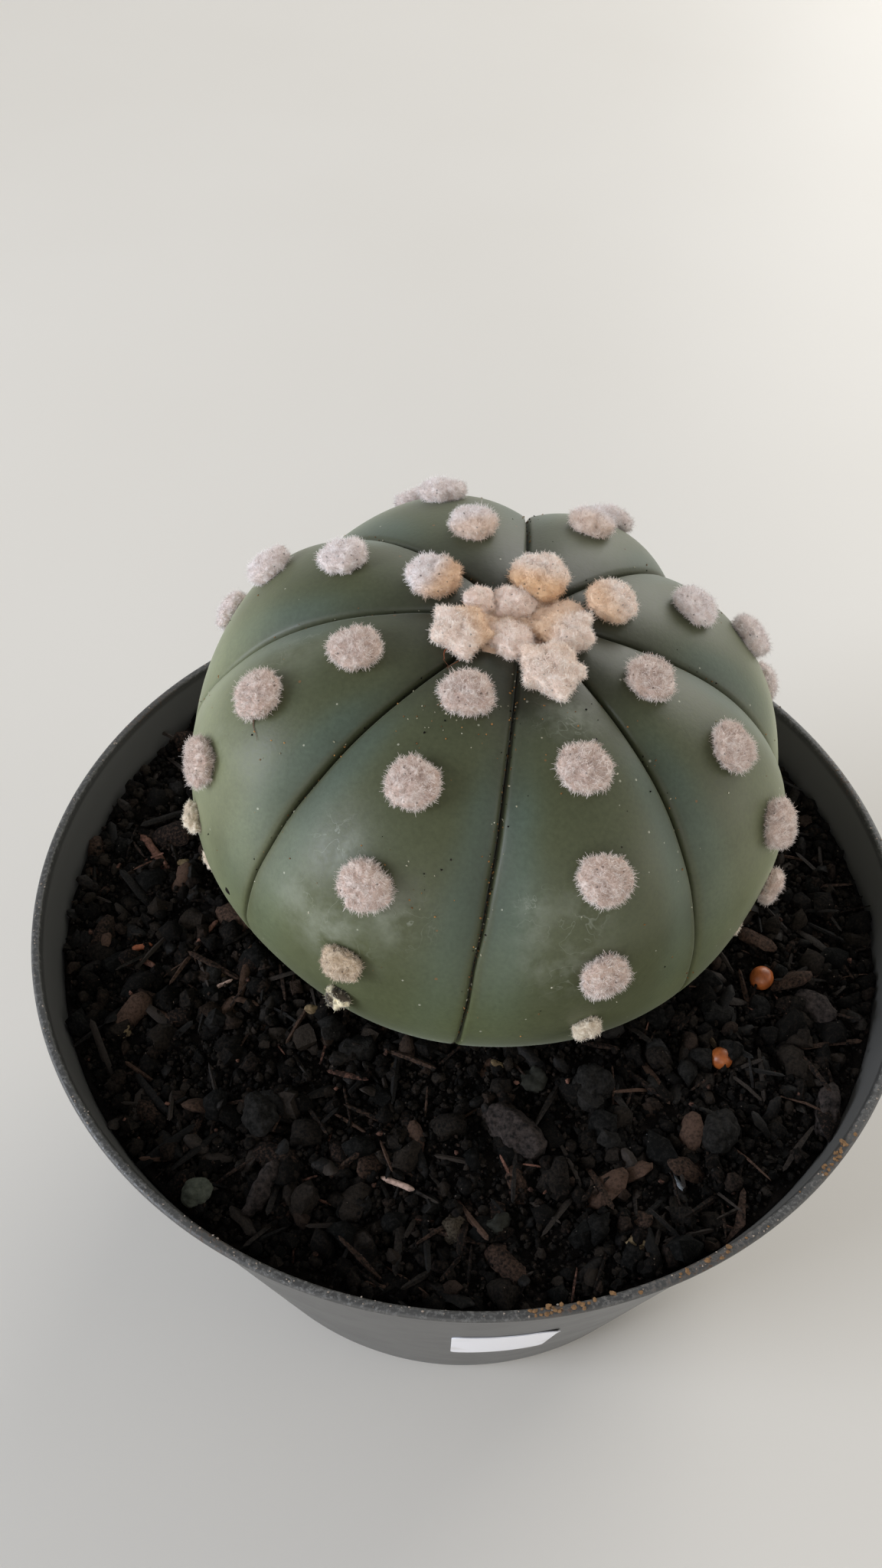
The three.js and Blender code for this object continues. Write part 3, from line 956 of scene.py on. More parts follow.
@dataclass
class Pot:
    """A shallow tapered nursery pot, moulded in one piece, with a blank sticker on its front."""

    height: float = 64.5
    lip_radius: float = 55.0
    lip_width: float = 1.1
    lip_proud: float = 0.3
    collar_depth: float = 3.0
    base_radius: float = 40.2
    wall: float = 0.8
    floor: float = 1.4
    foot_height: float = 2.0
    foot_width: float = 3.0
    drain_radius: float = 3.2
    drain_circle: float = 27.0
    drain_holes: int = 6
    sticker_thickness: float = 0.12
    sticker_corner: float = 1.2
    soiled_lip: tuple[tuple[float, float], ...] = ((-61, 7), (-78, 3), (-40, 4), (-118, 3), (22, 5), (150, 7))
    # How far the inside of the wall is greyed above the mix: partly dust, partly painted reflection.
    inside_dust_and_reflection: float = 0.6
    inside_greying_heights: tuple[float, float] = (50, 54)
    segments: int = 240

    @property
    def slope(self) -> float:
        """How much the wall widens per millimetre of height."""
        return (self.lip_radius - self.lip_proud - self.base_radius) / self.height

    def outer(self, z: float) -> float:
        """Radius of the wall's outside at height z."""
        return self.base_radius + self.slope * z

    def inner(self, z: float) -> float:
        """Radius of the wall's inside at height z."""
        return min(self.outer(z) - self.wall, self.lip_radius - self.lip_width)

    def outline(self) -> list[tuple[float, float]]:
        """Returns the shell's half section, from the axis underneath round to the axis on the floor's top."""
        collar = self.height - self.collar_depth
        foot_inner = self.base_radius - self.foot_width
        floor_top = self.foot_height + self.floor
        lean = math.degrees(math.atan(self.slope))
        top = self.height
        points = [(0.0, self.foot_height - 0.5), (0.6, self.foot_height - 0.5), (0.9, self.foot_height - 0.1)]
        points += [(r, self.foot_height) for r in (1.2, 10.0, 20.0, 30.0)]
        points += arc((foot_inner - 0.6, self.foot_height - 0.6), 0.6, 90, 0, 5)
        points += arc((foot_inner + 0.4, 0.4), 0.4, 180, 270, 5)
        points += arc((self.base_radius - 0.7, 0.7), 0.7, 270, 360 - lean, 6)
        points += [(self.outer(z), z) for z in np.linspace(3, collar - 0.6, 24)]
        points += arc((self.outer(collar) + self.lip_proud, collar), self.lip_proud, 180, 120, 4)
        points += arc((self.outer(collar) + self.lip_proud - 0.25, collar + 0.5), 0.3, -60, -lean, 4)
        points += arc((self.lip_radius - 0.45, top - 0.45), 0.45, -lean, 90, 8)
        points += arc((self.inner(top) + 0.35, top - 0.35), 0.35, 90, 180, 6)
        points += [(self.inner(z), z) for z in np.linspace(top - 1.2, floor_top + 1.6, 26)]
        points += arc((self.inner(floor_top) - 1.0, floor_top + 1.0), 1.0, -lean, -90, 5)
        points += [(30.0, floor_top), (20.0, floor_top), (10.0, floor_top), (0.0, floor_top)]
        return points

    def shell(self) -> Obj:
        """Returns the shell with its drain holes."""
        shell = new_mesh_object("pot_shell", revolve(self.outline(), self.segments), Material.POT, 32)
        drills = bmesh.new()
        for k in range(self.drain_holes):
            turn = (k + 0.5) * 2 * math.pi / self.drain_holes
            place = Vector(polar(self.drain_circle, turn, self.foot_height + self.floor / 2)) * MM
            radius = self.drain_radius * MM
            bmesh.ops.create_cone(
                drills, cap_ends=True, segments=40, radius1=radius, radius2=radius, depth=6 * MM,
                matrix=Matrix.Translation(place),
            )
        mesh = bpy.data.meshes.new("drills")
        drills.to_mesh(mesh)
        drills.free()
        cutter = object_of("drills", mesh, Material.POT)
        cut = shell.modifiers.new("drain_holes", "BOOLEAN")
        cut.object = cutter
        cut.operation = "DIFFERENCE"
        cut.solver = "EXACT"
        settle(shell)
        bpy.data.objects.remove(cutter)
        x, y, z = (np.array([v.co for v in shell.data.vertices]) / MM).T
        radius, azimuth = np.hypot(x, y), np.degrees(np.arctan2(y, x))
        on_lip = smooth_step(z, self.height - 0.9, self.height - 0.15)
        on_lip = on_lip * (radius > self.inner(self.height) - 0.3)
        within = radius < np.array([self.inner(height) for height in z]) + 0.3
        dirt = sum(np.exp(-(((azimuth - middle) / reach) ** 2)) for middle, reach in self.soiled_lip)
        store(shell, "lip", on_lip)
        # Greys the inside of the wall near its top: partly dust, partly painted reflection.
        store(shell, "inside", self.inside_dust_and_reflection * within * smooth_step(z, *self.inside_greying_heights) * (1 - on_lip))
        store(shell, "dirt", np.clip(dirt * on_lip, 0, 1))
        return shell

    def rounded(self, point: tuple[float, float], size: tuple[float, float]) -> list[float]:
        """Moves a point of a flat sheet of a size in from its square corners to rounded ones."""
        over = [max(0.0, abs(c) - (full / 2 - self.sticker_corner)) for c, full in zip(point, size)]
        reach = math.hypot(*over)
        cut = 1 - self.sticker_corner / reach if all(over) and reach > self.sticker_corner else 0.0
        return [c - math.copysign(beyond * cut, c) for c, beyond in zip(point, over)]

    def sticker(self) -> Obj:
        """Returns the blank paper sticker, on the wall where the frame's label is, one corner lifting."""
        low, high = (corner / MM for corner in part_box("blank_label"))
        left, right = (math.atan2(-math.sqrt(self.outer(high.z) ** 2 - x**2), x) for x in (low.x, high.x))
        middle = (low.z + high.z) / 2
        width, height = (right - left) * self.outer(middle), high.z - low.z
        columns, rows = 48, 60
        vertices, faces = [], []
        for side in (0, 1):
            for j in range(rows + 1):
                for i in range(columns + 1):
                    flat = ((i / columns - 0.5) * width, (j / rows - 0.5) * height)
                    across, up = self.rounded(flat, (width, height))
                    curl = 4 * max(0.0, across / width + up / height - 0.75) ** 2
                    radius = self.outer(middle + up) + (0.04 + curl + side * self.sticker_thickness)
                    turn = (left + right) / 2 + across / self.outer(middle)
                    vertices.append(Vector(polar(radius, turn, middle + up)) * MM)
        stride = columns + 1
        back = (rows + 1) * stride
        for j in range(rows):
            for a in range(j * stride, j * stride + columns):
                faces.append((a, a + stride, a + stride + 1, a + 1))
                faces.append((back + a, back + a + 1, back + a + stride + 1, back + a + stride))
        edge = list(range(stride)) + [j * stride + columns for j in range(1, rows + 1)]
        edge += [rows * stride + i for i in range(columns - 1, -1, -1)]
        edge += [j * stride for j in range(rows - 1, 0, -1)]
        faces += [(a, b, back + b, back + a) for a, b in zip(edge, edge[1:] + edge[:1])]
        return new_mesh_object("blank_sticker", (vertices, faces), Material.PAPER, 50)

    def make(self) -> None:
        """Builds the pot's pieces and hands them over."""
        hand_over(self.shell(), "pot_plastic", "pot")
        hand_over(self.sticker(), "label_paper", "blank_label")


# ---- Stem ----------------------------------------------------------------------------------------


@dataclass
class Stem:
    """The cactus itself: a low dome of eight rounded ribs on a buried neck and taproot."""

    furrows: tuple[float, ...] = (-136, -92, -48, -3, 46, 87, 136, 181)
    radius: float = 37.7
    crown: float = 26.7
    under: float = 18.3
    squareness: float = 2.57
    under_squareness: float = 2.32
    furrow_depth: float = 3.3
    furrow_taper: float = 1.25
    furrow_fade: tuple[float, float] = (-2, 20)
    roundness: float = 2.2
    crease_depth: float = 1.2
    crease_width: float = 0.15
    crease_fade: tuple[float, float] = (-18, -11)
    furrow_swing: float = 0.08
    fold_painted_shade: float = 0.24
    fold_painted_shade_width: float = 2.4
    dip: float = 1.2
    dip_radius: float = 9.0
    root_radius: float = 9.0
    root_length: float = 14.0
    centre: tuple[float, float, float] = (1.3, 12.1, 72.9)
    lean: tuple[float, float] = (1.2, 6.9)
    columns_per_rib: int = 40
    upper_rings: int = 170
    lower_rings: int = 60
    # Where crumbs gather under a tuft: the tuft, how far across and down from it, how widely and how thickly.
    littered: tuple[tuple[str, float, float, float, float], ...] = (
        ("rib1_wool_1", -2.5, 4.5, 2.6, 0.9), ("rib1_wool_1", 3.0, 5.0, 3.0, 0.35),
        ("rib2_wool_1", 1.0, 5.0, 2.4, 0.4), ("rib1_wool_3", 5.0, -1.0, 3.0, 0.35),
        ("rib8_wool_2", 0.0, 4.0, 3.0, 0.2), ("rib2_wool_2", -6.0, 1.0, 3.0, 0.12),
    )
    # Where the skin is scuffed: a place on it, how widely and how strongly.
    rubbed: tuple[tuple[float, float, float, float, float], ...] = (
        (-14.2, -15.9, 90.7, 3.4, 0.9), (-14.8, -21.1, 82.6, 5.0, 1.0), (-7.3, -21.7, 86.4, 3.4, 0.9),
        (11.9, -20.8, 86.0, 3.6, 0.7), (10.6, -23.2, 81.6, 4.2, 0.8), (7.1, -21.6, 85.3, 2.4, 0.7),
        (-17.5, -17.5, 84.0, 4.5, 0.7), (-28.5, -2.0, 90.0, 4.0, 0.4), (38.0, 20.0, 80.0, 5.0, 0.5),
        (9.6, -1.8, 97.0, 3.6, 0.9), (6.7, -20.2, 87.6, 1.9, 0.9), (7.7, -23.4, 81.6, 1.9, 0.9),
        (-20.3, 6.8, 94.5, 4.5, 0.7),
    )
    tree: Optional[BVHTree] = None

    @property
    def place(self) -> Matrix:
        """The stem's own frame, in metres."""
        about_x, about_y = (Matrix.Rotation(math.radians(a), 4, axis) for a, axis in zip(self.lean, "XY"))
        return Matrix.Translation(Vector(self.centre) * MM) @ (about_y @ about_x)

    def crest_line(self) -> np.ndarray:
        """Returns the line down a rib's crest, from apex to root tip, as radius and height rows."""
        power = 2 / self.squareness
        turn = np.pi / 2 * np.linspace(0, 1, self.upper_rings + 1) ** 1.25
        radius = self.radius * np.sin(turn) ** power
        sunken = self.dip * (1 - smooth_step(radius, 0, self.dip_radius))
        upper = np.c_[radius, self.crown * np.abs(np.cos(turn)) ** power - sunken]
        power = 2 / self.under_squareness
        turn = np.pi / 2 * np.linspace(0, 1, self.lower_rings + 1)[1:]
        neck = self.root_radius + (self.radius - self.root_radius) * np.abs(np.cos(turn)) ** power
        lower = np.c_[neck, -self.under * np.sin(turn) ** power]
        share = np.linspace(0, 1, 12)[1:]
        root = np.c_[self.root_radius * (1 - share**1.5), -self.under - self.root_length * share]
        return np.vstack([upper, lower, root])

    def rib_angles(self) -> tuple[np.ndarray, np.ndarray]:
        """Returns each rib's middle azimuth and half the angle that it spans, in radians."""
        starts = np.radians(np.array(self.furrows, float))
        spans = (np.roll(starts, -1) - starts) % (2 * np.pi)
        return starts + spans / 2, spans / 2

    def wander(self, height: np.ndarray, share: np.ndarray) -> np.ndarray:
        """Returns how far in millimetres the furrow near each column strays sideways at each height."""
        rib = np.repeat(np.arange(len(self.furrows)), self.columns_per_rib)
        furrow = (rib + (share > 0)) % len(self.furrows)
        swing = np.sin(height / 3.3 + 2.4 * furrow) + 0.6 * np.sin(height / 1.4 + 5.1 * furrow)
        return self.furrow_swing * swing * smooth_step(height, self.crown, self.crown - 6)

    def body(self) -> Obj:
        """Returns the stem's mesh with the attributes that its skin reads."""
        line = self.crest_line()
        slope = np.gradient(line, axis=0)
        slope /= np.linalg.norm(slope, axis=1)[:, None]
        outward, upward = -slope[:, 1], slope[:, 0]
        # Columns crowd towards the furrows, where the surface turns fastest.
        even = np.linspace(-1, 1, self.columns_per_rib + 1)[:-1]
        shares = np.sign(even) * (1 - (1 - np.abs(even)) ** 1.7)
        middles, halves = self.rib_angles()
        share = np.tile(shares, len(self.furrows))
        half = np.repeat(halves, self.columns_per_rib)
        azimuth = np.repeat(middles, self.columns_per_rib) + share * half
        rings = line[1:-1]
        radius, height = rings[:, :1], rings[:, 1:]
        furrow = self.furrow_depth * (radius / self.radius) ** self.furrow_taper
        furrow = furrow * smooth_step(height, *self.furrow_fade)
        off_fold = ((1 - np.abs(share)) * half)[None, :] * radius
        azimuth = azimuth + self.wander(height, share) / radius * np.exp(-((off_fold / 3) ** 2))
        pinch = self.crease_width * (1 + 0.5 * smooth_step(height, 8, 24))
        fold = np.exp(-((off_fold / pinch) ** 1.5)) * np.minimum(1, radius / self.dip_radius)
        fold = fold * smooth_step(height, *self.crease_fade)
        # A broad band beside each crease, for painted shade.
        soft = np.exp(-((off_fold / self.fold_painted_shade_width) ** 2)) * smooth_step(height, -12, 4)
        soft = soft * smooth_step(radius, 2, 9)
        ripple = 0.2 * np.sin(3 * azimuth + height / 7 + 0.7) + 0.14 * np.sin(7 * azimuth - height / 4.1)
        ripple = ripple * np.minimum(1, radius / 20)
        push = ripple - furrow * np.abs(share)[None, :] ** self.roundness - fold * self.crease_depth
        reach = radius + outward[1:-1, None] * push
        rise = height + upward[1:-1, None] * push
        points = np.stack([reach * np.cos(azimuth), reach * np.sin(azimuth), rise], -1).reshape(-1, 3)
        points = np.vstack([[0, 0, line[0, 1]], points, [0, 0, line[-1, 1]]])
        columns, count = len(share), len(rings)
        faces = ring_faces(count, columns, pointed=True)
        matrix = np.array(self.place)
        placed = points @ matrix[:3, :3].T * MM + matrix[:3, 3]
        body = new_mesh_object("stem_body", (placed, faces), Material.SKIN, 180)
        self.tree = BVHTree.FromPolygons([tuple(p) for p in placed], faces)
        arcs = np.concatenate([[0], np.cumsum(np.linalg.norm(np.diff(line, axis=0), axis=1))])[1:-1, None]
        side = np.abs(share)[None, :] * np.ones_like(radius)
        masks = {
            # Painted reflection of the window on both flanks of each rib.
            "flank_reflection": smooth_step(side, 0.3, 0.8) * smooth_step(side, 1.0, 0.9) * smooth_step(arcs, 12, 26),
            "low": smooth_step(arcs, 30, 60) * (0.55 + 0.45 * smooth_step(side, 0.2, 0.95)),
            # Painted light on the sides of the stem that face left and right.
            "side": 0.95 * smooth_step(arcs, 22, 44) * np.cos(azimuth) ** 2,
            # The crease line, and painted shade spread beside it.
            "fold": np.maximum(fold**1.5, self.fold_painted_shade * soft),
            # Darker towards the apex: partly greyer skin, partly painted shade on the upward-facing top.
            "crown": smooth_step(arcs, 26, 8) * np.ones_like(side),
        }
        for name, values in masks.items():
            inner = (values * np.ones((count, columns))).ravel()
            store(body, name, np.r_[inner[0], inner, inner[-1]])
        store(body, "scuff", self.scuffs(placed))
        # Crumbs lie in the furrows, most of all in the one that faces the front, and thinly all over the top.
        in_fold = np.exp(-((off_fold / 0.5) ** 2)) * smooth_step(height, -6, 6)
        in_fold = in_fold * (1.0 - 0.6 * (np.abs(azimuth + 1.6) > 0.5))
        weight = (in_fold + 0.012 * smooth_step(height, -4, 4)).ravel()
        store(body, "open", self.litter(placed, np.r_[0, weight, 0]))
        return body

    def litter(self, placed: np.ndarray, weight: np.ndarray) -> np.ndarray:
        """Adds to a weight at each vertex how much the crumbs gather near the tufts that hold them."""
        total = np.array(weight, float)
        for node, across, drop, reach, strength in self.littered:
            low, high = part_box(node)
            where = np.array((low + high) / 2) + np.array([across, -0.7 * drop, -0.5 * drop]) * MM
            total += strength * np.exp(-((np.linalg.norm(placed - where, axis=1) / MM / reach) ** 2))
        return total

    def scuffs(self, placed: np.ndarray) -> np.ndarray:
        """Returns how scuffed the skin is at each vertex."""
        amount = np.zeros(len(placed))
        for x, y, z, reach, strength in self.rubbed:
            distance = np.linalg.norm(placed / MM - (x, y, z), axis=1)
            amount = np.maximum(amount, strength * np.exp(-((distance / reach) ** 2)))
        return amount

    def seat(self, node: str) -> tuple[Vector, Vector]:
        """Returns the point on the skin under a wool node, and the skin's outward normal there."""
        low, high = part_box(node)
        point, normal, _, _ = self.tree.find_nearest((low + high) / 2)
        return point, normal

    def make(self) -> Obj:
        """Builds the stem, hands it over and returns it."""
        body = self.body()
        hand_over(body, "stem_skin", "cactus_stem")
        return body


# ---- Wool tufts ----------------------------------------------------------------------------------


class WoolAge(Enum):
    """How far a tuft has aged, from the crown down, besides the tufts painted lighter because they face the
    window behind the plant.
    """

    NEW = "new"
    YOUNG = "young"
    GROWN = "grown"
    PAINTED_BACKLIGHT = "painted_backlight"
    TIRED = "tired"
    OLD = "old"
    DEAD = "dead"


@dataclass
class WoolTufts:
    """The felted cushions on the ribs, each a domed pad that bristles with short hairs, and the apex felt."""

    stem: Stem
    cushion: float = 0.84
    pad_share: float = 0.83
    hair_length: dict[WoolAge, float] = field(default_factory=lambda: {
        WoolAge.NEW: 0.6, WoolAge.YOUNG: 0.6, WoolAge.GROWN: 0.7, WoolAge.PAINTED_BACKLIGHT: 0.7,
        WoolAge.TIRED: 0.5, WoolAge.OLD: 0.55, WoolAge.DEAD: 0.6,
    })
    finishes: dict[WoolAge, Material] = field(default_factory=lambda: {
        WoolAge.NEW: Material.FINE_WOOL, WoolAge.YOUNG: Material.CREAM_WOOL, WoolAge.GROWN: Material.WOOL,
        WoolAge.PAINTED_BACKLIGHT: Material.PAINTED_BACKLIT_WOOL, WoolAge.TIRED: Material.TIRED_WOOL,
        WoolAge.OLD: Material.OLD_WOOL, WoolAge.DEAD: Material.DEAD_WOOL,
    })
    hair_thickness: float = 0.03
    hairs_per_mm2: float = 33.0
    tilt: float = 0.95
    young_within: float = 11.0
    old_below: float = 2.5
    withered: str = "rib1_wool_5"
    tired: str = "rib1_wool_4"
    fluffy: tuple[str, ...] = ("crown_wool_4", "crown_wool_5", "crown_wool_6")
    pointed: tuple[str, ...] = ("crown_wool_1", "crown_wool_2", "rib2_wool_1")
    point_count: int = 5
    point_reach: float = 0.3
    fuller: dict[str, float] = field(default_factory=lambda: {
        "crown_wool_1": 1.36, "crown_wool_2": 1.36, "crown_wool_3": 1.3, "crown_wool_4": 1.6,
        "crown_wool_5": 1.75, "crown_wool_6": 1.9, "rib2_wool_1": 1.24, "rib7_wool_1": 1.12,
        "rib4_wool_1": 1.08,
    })
    golden: dict[str, float] = field(default_factory=lambda: {
        "crown_wool_1": 0.6, "crown_wool_2": 0.6, "crown_wool_3": 0.8, "rib7_wool_1": 0.7,
        "rib4_wool_1": 0.55, "rib6_wool_1": 0.35, "rib5_wool_1": 0.3, "rib2_wool_1": 0.15,
    })
    felt_radius: float = 6.2
    felt_height: float = 1.0
    window_side: float = 0.05
    pad_rings: int = 16
    pad_segments: int = 40

    @property
    def apex(self) -> Vector:
        """The top of the stem, in metres."""
        return self.stem.place @ Vector((0, 0, (self.stem.crown - self.stem.dip) * MM))

    def age(self, node: str, distance: float, radius: float, facing: float) -> WoolAge:
        """Tells a tuft's age and wear, or that it faces the window behind the plant and is painted lighter.

        Args:
            node: Its CAD node.
            distance: How far it is from the apex, in millimetres.
            radius: Its radius, in millimetres.
            facing: How far it faces the window behind the plant, from -1 to 1.

        Returns:
            Its age.
        """
        if node == self.withered:
            return WoolAge.DEAD
        if node == self.tired:
            return WoolAge.TIRED
        if node in self.fluffy:
            return WoolAge.NEW
        # A grown tuft that faces the window behind the plant is painted lighter: painted light.
        if facing > self.window_side and radius >= self.old_below and node[:5] != "crown":
            return WoolAge.PAINTED_BACKLIGHT
        if distance < self.young_within:
            return WoolAge.YOUNG
        return WoolAge.OLD if radius < self.old_below else WoolAge.GROWN

    def pad(self, node: str, seed: int) -> Obj:
        """Makes the felt pad of one tuft and grows its hairs.

        Args:
            node: The CAD node that it replaces.
            seed: Fixed start of its random shape.

        Returns:
            The finished tuft.
        """
        draw = random.Random(seed)
        corners = np.array([v.co for v in frame["nodes"][node].data.vertices])
        radius = max(np.linalg.norm(corners - corner, axis=1).max() for corner in corners) / 2 / MM
        seat, normal = self.stem.seat(node)
        age = self.age(node, (seat - self.apex).length / MM, radius, normal.y)
        radius *= self.pad_share * self.fuller.get(node, 1.0)
        turn = normal.to_track_quat("Z", "Y").to_matrix()
        inward = turn.transposed() @ (self.apex - seat)
        inward = Vector((inward.x, inward.y)).normalized()
        outward = math.atan2(-inward.y, -inward.x)
        reach = self.point_reach if node in self.pointed else 0.0
        swell = [draw.uniform(-1, 1) for _ in range(4)]
        points, amber = [], []
        for j in range(self.pad_rings + 1):
            # From the top of the pad, over its widest belt, and in to a narrower foot on the skin.
            fall = j / self.pad_rings * math.radians(126)
            ring, level = math.sin(fall), math.cos(fall)
            for k in range(self.pad_segments if j else 1):
                a = 2 * math.pi * k / self.pad_segments
                uneven = swell[0] * math.cos(a) + swell[1] * math.cos(2 * a + 1) + swell[2] * math.cos(3 * a)
                corner = 1 + 0.06 * uneven
                point = abs(math.cos(self.point_count * (a - outward) / 2)) ** 5
                corner *= 1 + reach * point * ring - reach / 3
                x, y = radius * corner * ring * math.cos(a), radius * corner * ring * math.sin(a)
                z = radius * self.cushion * (0.46 + 0.54 * level if level > 0 else 0.46 + 0.8 * level)
                local = Vector((x, y, z))
                stray = noise.noise(local * 0.8 + Vector((seed, 0, 0))) * 0.4 + noise.noise(local * 2.2) * 0.4
                local += Vector((x, y, z - radius * 0.3)).normalized() * stray
                points.append(seat + turn @ local * MM)
                facing = (x * inward.x + y * inward.y - 0.6 * (z - radius * 0.4)) / radius
                amber.append(smooth_step(facing, -0.45, 0.5))
        finish = self.finishes[age]
        faces = ring_faces(self.pad_rings, self.pad_segments, pointed=False)
        piece = new_mesh_object(node.replace("_wool_", "_tuft_"), (points, faces), finish, 180)
        # A dead tuft has shed most of its hair, and its bare felt is blotched.
        dead = age is WoolAge.DEAD
        blotches = [0.2 + dead * 1.6 * noise.noise(Vector(point) / MM / 1.3) for point in points]
        store(piece, "tone", blotches)
        store(piece, "amber", np.array(amber) * self.golden.get(node, 0.06))
        density = self.hairs_per_mm2 * (0.25 if dead else 1)
        return self.grow(piece, finish, self.hair_length[age] * min(1, radius / 2.3), seed, density)

    def grow(self, pad: Obj, finish: Material, length: float, seed: int, density: float) -> Obj:
        """Grows hairs of a length, in millimetres, all over a pad, so many to the square millimetre."""
        return RECIPES["hair"].run(
            pad, Density=density / MM**2, Length=length * MM, Thickness=self.hair_thickness * MM,
            Tilt=self.tilt, Seed=seed, Material=finish.value.material(),
        )

    def felt(self) -> Obj:
        """Returns the thin mat of tan felt that fills the hollow at the apex between the youngest tufts."""
        turn = self.stem.place.to_3x3()
        up = turn @ Vector((0, 0, 1))
        points = []
        for j in range(self.pad_rings + 1):
            share = min(1.0, j / (self.pad_rings - 2))
            for k in range(self.pad_segments if j else 1):
                a = 2 * math.pi * k / self.pad_segments
                reach = self.felt_radius * (1 + 0.14 * math.sin(2 * a + 0.6) + 0.12 * math.sin(5 * a)) * share
                above = self.apex + turn @ Vector((reach * math.cos(a), reach * math.sin(a), 9)) * MM
                skin = self.stem.tree.ray_cast(above, -up)[0]
                lump = noise.noise((above - self.apex) / MM * 0.9) * 0.5
                sunk = -0.4 * (j - self.pad_rings + 2)
                lift = self.felt_height * (1 - share**2) ** 0.5 * (1 + lump) if share < 1 else sunk
                points.append(skin + up * lift * MM)
        finish = Material.CREAM_WOOL
        faces = ring_faces(self.pad_rings, self.pad_segments, pointed=False)
        mat = new_mesh_object("apex_felt", (points, faces), finish, 180)
        store(mat, "tone", np.full(len(points), 0.1))
        store(mat, "amber", np.full(len(points), 0.4))
        return self.grow(mat, finish, self.hair_length[WoolAge.YOUNG], 90, self.hairs_per_mm2 * 0.6)

    def make(self) -> None:
        """Builds every tuft and the apex felt and hands them over."""
        wool = [name for name in sorted(frame["nodes"]) if "_wool_" in name]
        for number, node in enumerate(wool):
            hand_over(self.pad(node, 100 + number), "areole_wool", node)
        hand_over(self.felt(), "areole_wool")


# ---- Potting mix ---------------------------------------------------------------------------------


